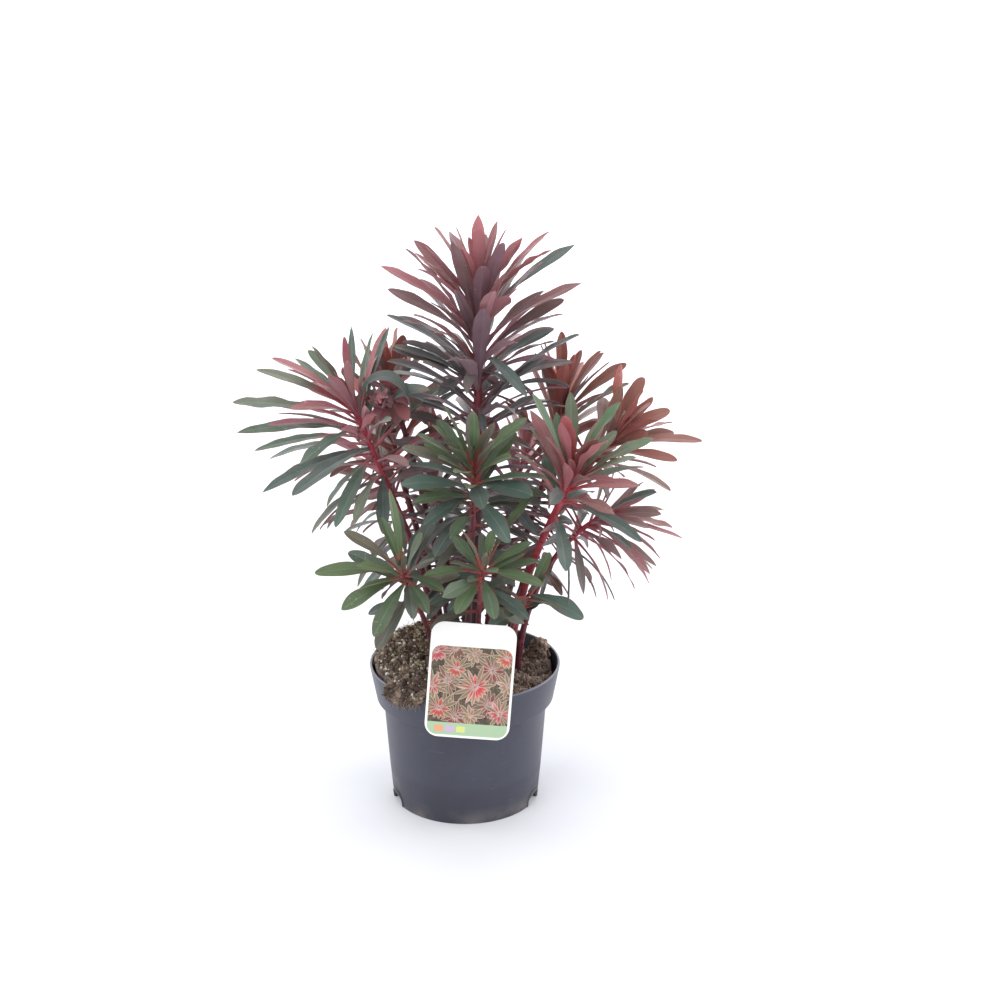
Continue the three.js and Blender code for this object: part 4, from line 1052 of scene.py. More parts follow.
def leaf_marks(paint, place):
    """Where a leaf has patches, grain, side veins, its pale midrib and dried spots."""
    along, across, chance = paint.split(place.outputs["Vector"])
    millimetres = paint.times(along, 100.0)
    sideways = paint.times(paint.math("ABSOLUTE", paint.minus(across, 0.5)), 20.0)
    own = paint.times(chance, 57.0)
    leaf_space = paint.node("CombineXYZ", {0: millimetres, 1: paint.times(across, 20.0),
                                           2: own}).outputs[0]
    patches = paint.noise(leaf_space, 0.07, 3.0, 0.6)
    grain = paint.noise(leaf_space, 0.9, 3.0, 0.6)
    slanted = paint.minus(millimetres, paint.times(sideways, 1.9))
    bent = paint.plus(slanted, paint.times(grain, 1.4))
    wave = paint.math("SINE", paint.times(bent, 2.3))
    veins = paint.between(wave, 0.62, 1.0)
    face = paint.between(place.outputs["Alpha"], 0.0, 1.0, 0.05, 0.2)
    midrib = paint.times(paint.between(sideways, 0.9, 0.2), face)
    midrib = paint.times(midrib, paint.between(patches, 0.25, 0.65, 0.35, 1.0))
    specks = paint.between(paint.cells(leaf_space, 0.32), 0.16, 0.1)
    where = paint.between(paint.noise(leaf_space, 0.03), 0.6, 0.72)
    spots = paint.times(paint.times(specks, where), 0.6)
    return patches, grain, veins, midrib, spots


def leaf_paint(name, rib, edge, bloom):
    """Leaf skin: mottled, with a pale midrib, faint side veins, a thin red edge and dried spots."""
    paint = Paint(name, Specular_IOR_Level=0.42, Subsurface_Weight=0.12, Subsurface_Scale=0.002,
                  Subsurface_Radius=(1.0, 0.5, 0.25), Sheen_Weight=0.08, Sheen_Roughness=0.5)
    tint, place = paint.attribute("tint"), paint.attribute("place")
    patches, grain, veins, midrib, spots = leaf_marks(paint, place)
    colour = paint.coat(tint.outputs["Color"], patches, (0.3, 0.72), (0.0, 0.2), bloom)
    colour = paint.coat(colour, grain, (0.35, 0.7), (0.0, 0.1), (52, 46, 50))
    colour = paint.mix(paint.times(veins, 0.1), colour, rib)
    colour = paint.mix(midrib, colour, rib)
    colour = paint.coat(colour, tint.outputs["Alpha"], (0.9, 1.0), (0.0, 0.55), edge)
    colour = paint.mix(spots, colour, (206, 204, 198))
    gloss = paint.plus(paint.between(patches, 0.3, 0.7, 0.44, 0.56),
                       paint.times(place.outputs["Alpha"], -0.06))
    paint.wear(Base_Color=colour, Roughness=gloss)
    relief = paint.plus(paint.times(veins, -0.35), paint.times(grain, 0.4))
    paint.bump(relief, 0.0004, 0.7)
    return paint.material


def stem_paint():
    """Stem skin: coloured along its length, streaked lengthwise, with darker scars."""
    paint = Paint("stem_skin", Specular_IOR_Level=0.45, Subsurface_Weight=0.06, Subsurface_Scale=0.002,
                  Subsurface_Radius=(1.0, 0.4, 0.3))
    tint = paint.attribute("tint")
    space = paint.space()
    streaks = paint.noise(paint.stretched(space, (900.0, 900.0, 90.0)), 1.0, 3.0, 0.6)
    marks = paint.noise(space, 160.0, 2.0)
    colour = paint.coat(tint.outputs["Color"], streaks, (0.3, 0.75), (0.0, 0.35), (58, 30, 36))
    colour = paint.coat(colour, marks, (0.58, 0.7), (0.0, 0.3), (186, 96, 96))
    paint.wear(Base_Color=colour, Roughness=paint.between(streaks, 0.3, 0.7, 0.34, 0.5))
    paint.bump(streaks, 0.0003, 0.6)
    return paint.material


def pot_paint():
    """Moulded plastic: dark slate, with fine grain, faint scuffs, dust and small dark specks, painted
    shade low on the wall and a painted highlight along the rim.
    """
    paint = Paint("moulded_plastic", Specular_IOR_Level=0.5)
    space = paint.space()
    height = paint.split(space)[2]
    clouds = paint.noise(space, 14.0, 4.0, 0.6)
    grain = paint.noise(space, 900.0, 2.0)
    lines = paint.noise(paint.stretched(space, (60.0, 60.0, 500.0)), 1.0)
    colour = paint.mix(paint.between(clouds, 0.3, 0.7), (52, 53, 66), (61, 63, 77))
    # painted shade: darker below about 34 mm, fading out by 44 mm, where the wall turns in more steeply
    # towards the foot
    colour = paint.coat(colour, height, (0.034, 0.044), (0.35, 0.0), (42, 41, 52))
    # painted highlight: a thin pale line along the top edge of the rim, between 142.5 and 143.5 mm
    colour = paint.coat(colour, height, (0.1425, 0.1435), (0.0, 0.5), (138, 139, 150))
    dust = paint.times(paint.between(height, 0.02, 0.0), paint.between(clouds, 0.4, 0.6))
    colour = paint.mix(paint.times(dust, 0.3), colour, (150, 140, 130))
    specks = paint.times(paint.between(paint.cells(space, 90.0), 0.12, 0.07),
                        paint.between(paint.noise(space, 22.0), 0.55, 0.6))
    colour = paint.mix(paint.times(specks, 0.75), colour, (34, 32, 38))
    scuffs = paint.between(lines, 0.66, 0.78, 0.0, 0.16)
    colour = paint.mix(scuffs, colour, (130, 132, 144))
    paint.wear(Base_Color=colour, Roughness=paint.between(clouds, 0.3, 0.7, 0.36, 0.48))
    relief = paint.plus(paint.times(grain, 0.5), paint.times(lines, 0.5))
    paint.bump(relief, 0.0002, 0.5)
    return paint.material


def peat_paint(name, dark, light, grain_scale, painted_pit_shade):
    """Peat and what lies on it: tinted by the piece, blotched, rough and crumbly, with painted shade in
    its small pits.
    """
    paint = Paint(name, Specular_IOR_Level=0.2, Roughness=0.95)
    space = paint.space()
    broad = paint.noise(space, 60.0, 4.0, 0.65)
    fine = paint.noise(space, grain_scale, 4.0, 0.7)
    own = paint.attribute("tint").outputs["Color"]
    colour = paint.mix(paint.between(broad, 0.35, 0.65), dark, light)
    colour = paint.mix(1.0, colour, own, "MULTIPLY")
    # painted shade: near-black brown in the low spots of the fine noise, which are also the bump's pits
    colour = paint.mix(paint.between(fine, 0.36, 0.6, painted_pit_shade, 0.0), colour, (42, 31, 26))
    paint.wear(Base_Color=colour)
    paint.bump(fine, 0.0014)
    return paint.material


# The print on the card: the middle of its panel and half its size, the panel's corner, the height where
# the green band at its foot ends, and the patches on that band as x, half width and colour.
PRINT = {
    "panel": (0.0, 10.0, 38.2, 43.8), "corner": 9.0, "band_to": -21.5,
    "patches": [(-27, 4.2, (226, 158, 122)), (-16.5, 4.2, (196, 170, 206)), (-6, 4.2, (208, 214, 128))],
}
# Rosettes of the print: x and z on the card, radius, number of leaves, turn, and their two colours.
ROSETTES = [
    (-16, 52, 22, 15, 0.1, (74, 84, 56), (120, 82, 70)),
    (20, 32, 24, 15, 1.9, (112, 46, 44), (104, 104, 72)),
    (-22, 20, 24, 15, 2.7, (84, 90, 60), (132, 96, 80)),
    (20, -2, 24, 15, 0.6, (104, 50, 46), (92, 100, 68)),
    (-12, -16, 22, 13, 1.2, (96, 44, 42), (120, 108, 78)),
    (-34, 48, 19, 13, 0.3, (170, 52, 60), (206, 158, 156)),
    (33, 45, 18, 13, 1.1, (188, 66, 62), (196, 190, 140)),
    (2, 47, 16, 11, 2.0, (132, 142, 96), (206, 172, 164)),
    (-14, 32, 17, 12, 0.9, (176, 60, 62), (172, 174, 128)),
    (36, 18, 17, 12, 2.1, (120, 132, 88), (208, 172, 168)),
    (-36, 14, 18, 12, 1.7, (182, 70, 74), (196, 176, 150)),
    (30, -10, 19, 13, 2.4, (176, 62, 66), (206, 168, 162)),
    (-28, -8, 20, 13, 0.8, (186, 52, 58), (154, 160, 116)),
    (2, -14, 15, 11, 1.4, (118, 130, 86), (200, 160, 150)),
    (5, 15, 24, 17, 0.0, (198, 44, 50), (204, 184, 160)),
]


def rosette(paint, x, z, colour, centre_x, centre_z, radius, leaves, turn, inner, outer):
    """Paints radiating leaves round a centre over the colour so far."""
    dx = paint.minus(x, float(centre_x))
    dz = paint.minus(z, float(centre_z))
    square = paint.plus(paint.times(dx, dx), paint.times(dz, dz))
    far = paint.math("SQRT", square)
    share = paint.math("DIVIDE", far, float(radius))
    angle = paint.plus(paint.math("ARCTAN2", dz, dx), float(turn))
    sector = paint.times(angle, leaves / math.tau)
    number = paint.math("FLOOR", sector)
    chance = paint.node("TexWhiteNoise", {1: number}, noise_dimensions="1D").outputs[0]
    offset = paint.math("ABSOLUTE", paint.minus(paint.math("FRACT", sector), 0.5))
    aside = paint.times(paint.times(offset, math.tau / leaves), far)
    reach = paint.math("DIVIDE", share, paint.between(chance, 0.0, 1.0, 0.55, 1.0))
    bulge = paint.math("SINE", paint.times(paint.math("POWER", reach, 1.4), math.pi))
    room = paint.minus(paint.times(bulge, 1.9), aside)
    inside = paint.times(paint.between(room, -0.1, 0.15), paint.between(reach, 1.0, 0.97))
    body = paint.mix(paint.between(share, 0.15, 0.7), inner, outer)
    body = paint.coat(body, chance, (0.5, 0.6), (0.0, 0.8), (98, 112, 74))
    body = paint.coat(body, aside, (0.5, 0.2), (0.0, 0.7), (178, 62, 68))
    body = paint.coat(body, room, (0.5, 0.25), (0.0, 0.75), (222, 200, 192))
    return paint.mix(inside, colour, body)


def in_box(paint, x, z, centre_x, centre_z, half_x, half_z, corner):
    """1 inside a box with round corners, 0 outside."""
    over = []
    for value, centre, half in ((x, centre_x, half_x), (z, centre_z, half_z)):
        away = paint.math("ABSOLUTE", paint.minus(value, float(centre)))
        over.append(paint.math("MAXIMUM", paint.minus(away, float(half - corner)), 0.0))
    square = paint.plus(paint.times(over[0], over[0]),
                        paint.times(over[1], over[1]))
    return paint.between(paint.math("SQRT", square), corner + 0.1, corner - 0.1)


def label_paint():
    """A generic print: plain white top, a panel of radiating leaves, and a pale green band below."""
    paint = Paint("printed_card", Specular_IOR_Level=0.5, Coat_Weight=0.15, Coat_Roughness=0.25)
    place = paint.attribute("place")
    x, z, front = paint.split(place.outputs["Vector"])
    ground = paint.node("CombineXYZ", {0: x, 2: z}).outputs[0]
    broad = paint.noise(ground, 0.16, 3.0)
    fine = paint.noise(ground, 0.9, 3.0)
    colour = paint.mix(paint.between(broad, 0.35, 0.65), (74, 60, 46), (104, 98, 70))
    colour = paint.coat(colour, fine, (0.42, 0.6), (0.0, 0.75), (48, 36, 32))
    light = paint.between(paint.noise(ground, 0.55, 4.0, 0.7), 0.58, 0.66, 0.0, 0.5)
    colour = paint.mix(light, colour, (176, 150, 124))
    for row in ROSETTES:
        colour = rosette(paint, x, z, colour, *row)
    band = paint.between(z, PRINT["band_to"] + 0.1, PRINT["band_to"] - 0.1)
    colour = paint.mix(band, colour, (166, 192, 158))
    centre_x, centre_z, half_x, half_z = PRINT["panel"]
    level = (PRINT["band_to"] + centre_z - half_z) / 2
    for patch_x, half, patch_colour in PRINT["patches"]:
        patch = in_box(paint, x, z, patch_x, level, half, 3.0, 1.2)
        colour = paint.mix(patch, colour, patch_colour)
    panel = in_box(paint, x, z, centre_x, centre_z, half_x, half_z, PRINT["corner"])
    colour = paint.mix(paint.times(panel, front), (246, 245, 242), colour)
    paint.wear(Base_Color=colour, Roughness=paint.between(fine, 0.3, 0.7, 0.32, 0.4))
    paint.bump(fine, 0.0001, 0.3)
    return paint.material


# ---- pot ----


def rounded(profile, radius, steps=4):
    """A profile of (radius, height) with its corners rounded."""
    made = []
    for i, here in enumerate(profile):
        here = np.array(here, float)
        if i in (0, len(profile) - 1):
            made.append(here)
            continue
        before, after = np.array(profile[i - 1], float), np.array(profile[i + 1], float)
        cut = min(radius, np.linalg.norm(before - here) * 0.45, np.linalg.norm(after - here) * 0.45)
        start, end = here + unit(before - here) * cut, here + unit(after - here) * cut
        for k in range(steps + 1):
            share = k / steps
            made.append(bezier([start, here, end], share))
    return made


def pot_outside():
    band_bottom = POT["height"] - POT["band"]
    return [(POT["foot"], 0), POT["middle"], (POT["wall_top"], band_bottom),
            (POT["band_bottom"], band_bottom), (POT["rim"], POT["height"] - 1),
            (POT["rim"] - 0.6, POT["height"])]


def pot_inside(inset):
    band_bottom = POT["height"] - POT["band"]
    depth = POT["wall"] + inset
    return [(POT["rim"] - POT["lip"] - inset, POT["height"] + inset),
            (POT["band_bottom"] - depth, band_bottom + depth),
            (POT["wall_top"] - depth, band_bottom + inset),
            (POT["middle"][0] - depth, POT["middle"][1]),
            (POT["foot"] - depth + 0.6, POT["channel"] + depth)]


def turned(skin, profile, sides, tint=WHITE):
    """A closed body of revolution whose profile begins and ends on the axis."""
    inner = [p for p in profile if p[0] > 1e-6]
    angles = angles_round(sides)
    points = [(r * math.cos(a), r * math.sin(a), z) for r, z in inner for a in angles]
    faces = ring_faces(len(inner), sides)
    first, last = len(points), len(points) + 1
    points += [(0, 0, profile[0][1]), (0, 0, profile[-1][1])]
    start = (len(inner) - 1) * sides
    for j in range(sides):
        k = (j + 1) % sides
        faces.append((first, k, j))
        faces.append((last, start + j, start + k))
    skin.add(points, faces, tint)


def arch(width, height, steps=10):
    """The outline of a notch as (across, up), from one foot over the top to the other."""
    half = width / 2
    low, top = np.array([half, height * 0.45]), np.array([half, height])
    right = [bezier([low, top, np.array([0.0, height])], k / steps) for k in range(steps + 1)]
    left = [p * (-1, 1) for p in reversed(right[:-1])]
    return [np.array([half, -1.0]), *right, *left, np.array([-half, -1.0])]


def spin(points, degrees):
    angle = math.radians(degrees)
    turn = np.array([[math.cos(angle), -math.sin(angle), 0], [math.sin(angle), math.cos(angle), 0],
                     [0, 0, 1]])
    return np.asarray(points, float) @ turn.T


# How far the cutters go: in and out past the foot, and down and up from the floor.
CUT = {"notch": (11, -9), "drain": (-5, 7), "sides": 24}


def pot_cutters():
    skin = Skin()
    for angle in NOTCH["angles"]:
        outline = arch(NOTCH["width"], NOTCH["height"])
        rings = [[(x, reach - POT["foot"], z) for x, z in outline] for reach in CUT["notch"]]
        skin.loft(spin(rings, angle), WHITE)
    turn = angles_round(CUT["sides"])
    ring = np.stack([DRAIN["circle"] + DRAIN["radius"] * np.cos(turn), DRAIN["radius"] * np.sin(turn),
                     0 * turn], axis=1)
    for i in range(DRAIN["count"]):
        rings = [ring + UP * (POT["channel"] + reach) for reach in CUT["drain"]]
        skin.loft(spin(rings, i * 360 / DRAIN["count"]), WHITE)
    return skin.make("cutters", [])


def wall_radius(height):
    (r0, z0), (r1, z1) = pot_outside()[:2]
    return r0 + (r1 - r0) * (height - z0) / (z1 - z0)


def add_notch_lips(skin):
    """The small raised lip that runs over each notch in the foot."""
    beside, lowest = 1.1, 0.6
    for angle in NOTCH["angles"]:
        outline = arch(NOTCH["width"] + 2 * beside, NOTCH["height"] + beside, 14)
        line = []
        for x, z in outline:
            height = max(z, lowest)
            line.append((x, -math.sqrt(wall_radius(height) ** 2 - x**2), height))
        size = 0.8 + 0.35 * smooth(np.array([p[2] for p in line]) / NOTCH["height"])
        skin.loft(tube(spin(line, angle), size, 10), WHITE)


def pot_profile():
    """The whole wall and floor of the pot, from the axis below to the axis inside."""
    slope, channel, wall = POT["slope"], POT["channel"], POT["wall"]
    foot_inside = POT["foot"] - POT["foot_width"]
    return [
        (0, 0), (POT["centre"], 0), (POT["centre"] + slope, channel), (foot_inside - 1, channel),
        (foot_inside, 0), *pot_outside(), *pot_inside(0),
        (POT["centre"] + slope - wall, channel + wall), (POT["centre"] - wall, wall), (0, wall),
    ]


def cut_out(made, cutters):
    """Cuts the cutters' shapes out of a piece, and removes them."""
    cut = made.modifiers.new("holes", "BOOLEAN")
    cut.object = cutters
    cut.operation = "DIFFERENCE"
    cut.solver = "EXACT"
    shaped = made.evaluated_get(bpy.context.evaluated_depsgraph_get())
    shaped = bpy.data.meshes.new_from_object(shaped)
    made.modifiers.clear()
    made.data = shaped
    bpy.data.objects.remove(cutters)


def add_pot():
    plastic = pot_paint()
    body = Skin()
    turned(body, rounded(pot_profile(), 0.8), 160)
    pot = body.make("fine_pot", [plastic], 30)
    cut_out(pot, pot_cutters())
    settle(pot, "pot", "pot")
    lips = Skin()
    add_notch_lips(lips)
    settle(lips.make("pot_notch_lips", [plastic]), "pot")


# ---- soil ----


def lumps(x, y):
    broad = np.sin(0.19 * x + 0.7) * np.sin(0.17 * y + 1.9)
    fine = 0.6 * np.sin(0.43 * x - 0.27 * y) + 0.4 * np.sin(0.31 * x + 0.52 * y + 2)
    return broad + fine


def raised(x):
    return smooth((SOIL["rise_from"] - x) / (SOIL["rise_from"] - SOIL["rise_to"]))


def drawn_back(x):
    """How far the loose peat stays back from the wall, less on the raised half."""
    return SOIL["back"] * (1 - 0.85 * raised(x))


def soil_top(x, y):
    """The height of the soil's surface, as in the solid."""
    edge = pot_inside(GAP)[0][0]
    outward = smooth(1 - (edge - np.hypot(x, y)) / SOIL["shoulder_width"])
    away = (x - CLUMP["at"][0]) ** 2 + (y - CLUMP["at"][1]) ** 2
    clump = np.exp(-away / (2 * CLUMP["spread"] ** 2))
    body = SOIL["level"] - SOIL["forward"] * y + SOIL["rise"] * raised(x)
    body = body - SOIL["shoulder"] * raised(x) * outward
    return body + CLUMP["height"] * clump + SOIL["relief"] * lumps(x, y)


class Crumble:
    """Repeatable value noise, from -1 to 1, on points in millimetres."""

    def __init__(self, seed):
        self.table = np.random.RandomState(seed).uniform(-1, 1, 4096)

    def at(self, points, size):
        scaled = np.asarray(points, float) / size
        cell = np.floor(scaled).astype(np.int64)
        share = scaled - cell
        share = share * share * (3 - 2 * share)
        total = 0.0
        for corner in np.ndindex(2, 2, 2):
            key = cell + corner
            index = (key[..., 0] * 73856093 ^ key[..., 1] * 19349663 ^ key[..., 2] * 83492791) % 4096
            weight = np.prod(np.where(np.array(corner) == 1, share, 1 - share), axis=-1)
            total = total + self.table[index] * weight
        return total

    def layers(self, points, sizes, heights):
        return sum(height * self.at(points, size) for size, height in zip(sizes, heights))


CRUMBLE = Crumble(11)
CLODS = ((14, 6, 3, 1.5), (1.0, 1.5, 1.7, 1.1))  # sizes and heights of the soil's lumps
SURFACE = {"spokes": 400, "rings": 130, "crowding": 1.05}
SUNKEN_PAINTED_LIGHT = 1.6  # painted light: how much paler the peat and its crumbs are painted where they lie deep in the pot, against the shade of the pot wall


def fine_top(x, y):
    """The height of the loose and crumbly surface over the solid's."""
    x, y = np.asarray(x, float), np.asarray(y, float)
    height = soil_top(x, y) + CRUMBLE.layers(np.stack([x, y, 0 * x], axis=-1), *CLODS)
    for (at_x, at_y), rise, spread in LOOSE["mounds"]:
        away = (x - at_x) ** 2 + (y - at_y) ** 2
        height = height + rise * raised(x) * np.exp(-away / (2 * spread**2))
    return height


def add_soil_body(skin):
    inside = pot_inside(3 * GAP)
    spokes, rings = SURFACE["spokes"], SURFACE["rings"]
    angles = angles_round(spokes)
    circle = np.stack([np.cos(angles), np.sin(angles)], axis=1)
    edge = inside[0][0] - drawn_back(circle[:, :1] * inside[0][0])
    made = []
    for radius, height in reversed(inside[1:]):
        made.append(np.concatenate([circle * radius, np.full((spokes, 1), float(height))], axis=1))
    for i in range(rings):
        place = circle * edge * (1 - (i / rings) ** SURFACE["crowding"])
        height = fine_top(place[:, 0], place[:, 1])
        made.append(np.concatenate([place, height[:, None]], axis=1))
    # painted light: the peat is painted paler towards the sunken half, against the shade of the pot wall
    light = lerp(SUNKEN_PAINTED_LIGHT, 1.0, raised(np.array(made)[..., 0].ravel()))
    skin.loft(made, np.stack([light, light, light, light**0], axis=1))


def add_blob(skin, at, radii, tint, rows, seed_shift=0.0, rough=0.12, size=None, taper=0.0):
    """A rough lump: a sphere pushed in and out, and drawn in below by its taper."""
    size = size or max(radii) * 0.6
    polar = (math.pi * (np.arange(rows) + 0.5) / rows)[:, None]
    turn = (np.arange(rows * 2) * math.pi / rows)[None]
    ball = np.stack([np.sin(polar) * np.cos(turn), np.sin(polar) * np.sin(turn),
                     -np.cos(polar) * np.ones_like(turn)], axis=2)
    swell = 1 + rough * CRUMBLE.layers(ball * max(radii) + seed_shift, (size, size / 2.3), (1.0, 0.6))
    drawn = np.ones_like(ball)
    drawn[..., 0] += taper * np.minimum(ball[..., 2], 0)
    skin.loft(np.array(at) + ball * drawn * np.array(radii) * swell[..., None], tint)


def surface_point(rng, left_share):
    """A random place on the soil, more often on its raised half."""
    edge = pot_inside(GAP)[0][0] - LOOSE["rim_gap"]
    while True:
        x, y = rng.uniform(-edge, edge), rng.uniform(-edge, edge)
        if math.hypot(x, y) > edge - float(drawn_back(x)):
            continue
        if rng.random() < lerp(1 - left_share, 1.0, float(raised(x))):
            return np.array([x, y, float(fine_top(x, y))])


def spill_point(rng):
    """A random place on the clump that hangs over the rim."""
    turn, polar = rng.uniform(0, math.tau), math.acos(rng.uniform(-0.6, 1.0))
    ball = (math.sin(polar) * math.cos(turn), math.sin(polar) * math.sin(turn), math.cos(polar))
    return np.array(SPILL["at"]) + np.array(ball) * np.array(SPILL["radii"])


def add_fibre(skin, start, heading, length, radius, tint, rng, sag):
    point, direction = np.array(start, float), unit(np.array(heading, float))
    line = [point]
    steps = 6
    for _ in range(steps):
        stray = np.array([rng.uniform(-1, 1) for _ in range(3)])
        direction = unit(direction + stray * 0.45 - UP * sag / steps)
        point = point + direction * length / steps
        line.append(point)
    skin.loft(tube(line, np.linspace(radius, radius * 0.5, steps + 1), 4), tint)


GRAIN_COLOURS = [(238, 232, 216), (222, 214, 188), (206, 190, 166), (246, 244, 236), (200, 194, 150)]
CRUMB_COLOURS = [(0.45, 0.42, 0.4), (0.75, 0.64, 0.57), (0.95, 0.87, 0.82), (1.2, 1.1, 1.0),
                 (1.6, 1.45, 1.3)]
FIBRE_COLOURS = [(158, 130, 104), (196, 170, 140), (104, 78, 62), (212, 196, 170), (78, 58, 48)]
# What lies on the peat. on_spill and on_clump: one of so many lies there. left: how seldom the others lie
# off the raised half, from 0 to 1. lift: how far up each lies, as a share of its size. short: the share
# of the greatest length that fibres on the spill reach.
CRUMBS = {"count": 4200, "size": (0.6, 1.5), "large": (1.8, 3.2), "large_each": 12, "on_spill": 8,
          "on_clump": 7, "left": 0.55, "lift": 0.25, "rough": 0.5}
GRAINS = {"count": 960, "size": (0.5, 1.9), "on_spill": 10, "left": 0.96, "lift": 0.5, "rough": 0.14}
FIBRES = {"count": 2900, "length": (5, 20), "short": 0.55, "radius": (0.1, 0.22), "on_spill": 3,
          "on_clump": 9, "left": 0.85, "sag": (0.9, 1.2), "sunk": 0.4}


def clump_point(rng):
    """A random place on the loose peat against the rim."""
    aside = [rng.gauss(0, CLUMP["spread"] * 0.6) for _ in range(2)]
    x, y = (at + step for at, step in zip(CLUMP["at"], aside))
    inward = min(1.0, (pot_inside(GAP)[0][0] - SOIL["back"]) / math.hypot(x, y))
    pile = LOOSE["pile"] * rng.random() * math.exp(-math.hypot(*aside) / CLUMP["spread"])
    return np.array([x * inward, y * inward, float(fine_top(x * inward, y * inward)) + pile])


def crumb_skin():
    rng = random.Random(3)
    skin = Skin()
    for i in range(CRUMBS["count"]):
        if i % CRUMBS["on_spill"] == 0:
            at = spill_point(rng)
        elif i % CRUMBS["on_clump"] == 0:
            at = clump_point(rng)
        else:
            at = surface_point(rng, CRUMBS["left"])
        large = i % CRUMBS["large_each"] == 0
        size = rng.uniform(*CRUMBS["large" if large else "size"])
        radii = [size * rng.uniform(0.7, 1.3) for _ in range(3)]
        # painted light: crumbs on the sunken half are painted paler, like the peat under them
        light = lerp(SUNKEN_PAINTED_LIGHT, 1.0, float(raised(at[0])))
        tint = (*(np.array(rng.choice(CRUMB_COLOURS)) * light), 1)
        at = at + UP * size * CRUMBS["lift"]
        add_blob(skin, at, radii, tint, 6 if large else 3, i * 3.1, CRUMBS["rough"])
    return skin


def grain_skin():
    rng = random.Random(5)
    skin = Skin()
    for i in range(GRAINS["count"]):
        at = spill_point(rng) if i % GRAINS["on_spill"] == 0 else surface_point(rng, GRAINS["left"])
        size = lerp(*GRAINS["size"], rng.random() ** 1.6)
        tint = rgba(rng.choice(GRAIN_COLOURS))
        radii = [size * rng.uniform(0.8, 1.2) for _ in range(3)]
        add_blob(skin, at + UP * size * GRAINS["lift"], radii, tint, 6, i * 1.7, GRAINS["rough"])
    return skin


def fibre_skin():
    rng = random.Random(9)
    skin = Skin()
    for i in range(FIBRES["count"]):
        heading = (rng.uniform(-1, 1), rng.uniform(-1, 1), rng.uniform(0, 0.8))
        (shortest, longest), sag = FIBRES["length"], FIBRES["sag"][0]
        if i % FIBRES["on_spill"] == 0:
            at, sag, longest = spill_point(rng), FIBRES["sag"][1], longest * FIBRES["short"]
            inward = (SPILL["at"][0] - at[0]) / 12
            heading = (inward + rng.uniform(-0.6, 0.6), -0.3, rng.uniform(-1.2, 0.2))
        elif i % FIBRES["on_clump"] == 0:
            at = clump_point(rng)
        else:
            at = surface_point(rng, FIBRES["left"])
        tint = rgba(rng.choice(FIBRE_COLOURS))
        length, radius = rng.uniform(shortest, longest), rng.uniform(*FIBRES["radius"])
        add_fibre(skin, at - UP * FIBRES["sunk"], heading, length, radius, tint, rng, sag)
    return skin


def add_soil():
    body = Skin()
    add_soil_body(body)
    add_blob(body, SPILL["at"], SPILL["radii"], (0.85, 0.85, 0.87, 1), 72, 0.0, 0.3, 4.2, 0.45)
    peat = peat_paint("peat", (96, 84, 78), (157, 142, 133), 700.0, 0.6)
    settle(body.make("fine_soil", [peat], 80), "peat", "soil")
    settle(crumb_skin().make("peat_crumbs", [peat], 80), "peat")
    pale = peat_paint("pale_grains", (232, 232, 232), (255, 255, 255), 900.0, 0.2)
    settle(grain_skin().make("pale_grains", [pale], 80), "peat")
    hair = peat_paint("root_fibres", (210, 210, 210), (255, 255, 255), 1200.0, 0.3)
    settle(fibre_skin().make("root_fibres", [hair], 80), "peat")


# ---- label ----


def to_world(points):
    """Points of the label's own frame, as the solid's label is hung."""
    turn = math.radians(LABEL["turn"])
    points = np.asarray(points, float)
    x = points[..., 0] * math.cos(turn) + points[..., 2] * math.sin(turn)
    z = -points[..., 0] * math.sin(turn) + points[..., 2] * math.cos(turn)
    edge = math.sqrt(POT["rim"] ** 2 - LABEL["x"] ** 2)
    return np.stack([x + LABEL["x"], points[..., 1] - edge, z + POT["height"]], axis=-1)


def card_half_width(z):
    half, corner = LABEL["width"] / 2, LABEL["corner"]
    bottom, top = -LABEL["below_rim"], LABEL["height"] - LABEL["below_rim"]
    into = np.maximum(np.maximum(bottom + corner - z, z - (top - corner)), 0)
    return half - corner + np.sqrt(np.maximum(corner**2 - into**2, 0))


CARD = {"rows": 56, "columns": 20, "bow": 0.8}  # bow: how far back its sides bend


def card_rings():
    """Rings across the upright card, each its front and then its back, and the print's place on them."""
    rows, columns = CARD["rows"], CARD["columns"]
    bottom, top = -LABEL["below_rim"], LABEL["height"] - LABEL["below_rim"]
    eased = 0.5 - 0.5 * np.cos(np.linspace(0, 1, rows) * math.pi)
    share = np.linspace(-1, 1, columns)
    rings, places = [], []
    for z in lerp(bottom + 0.01, top - 0.01, eased):
        x = share * max(float(card_half_width(z)), 0.4)
        bow = CARD["bow"] * (x / (LABEL["width"] / 2)) ** 2
        for front in (1.0, 0.0):
            y = bow - (front - 0.5) * (LABEL["thickness"] - 0.1)
            line = np.stack([x, y, np.full_like(x, z)], axis=1)
            mark = np.stack([x, np.full_like(x, z), np.full_like(x, front), np.ones_like(x)], axis=1)
            rings.append(line if front else line[::-1])
            places.append(mark if front else mark[::-1])
    return np.array(rings).reshape(rows, 2 * columns, 3), np.array(places).reshape(rows * 2 * columns, 4)


def add_label():
    lean = math.radians(LABEL["lean"])
    rings, places = card_rings()
    y = rings[..., 1] * math.cos(lean) + rings[..., 2] * math.sin(lean) - LABEL["stand_off"]
    z = rings[..., 2] * math.cos(lean) - rings[..., 1] * math.sin(lean)
    card = Skin()
    card.loft(to_world(np.stack([rings[..., 0], y, z], axis=-1)), WHITE, places)
    add_tongue(card)
    settle(card.make("fine_label", [label_paint()], 40), "label", "label")


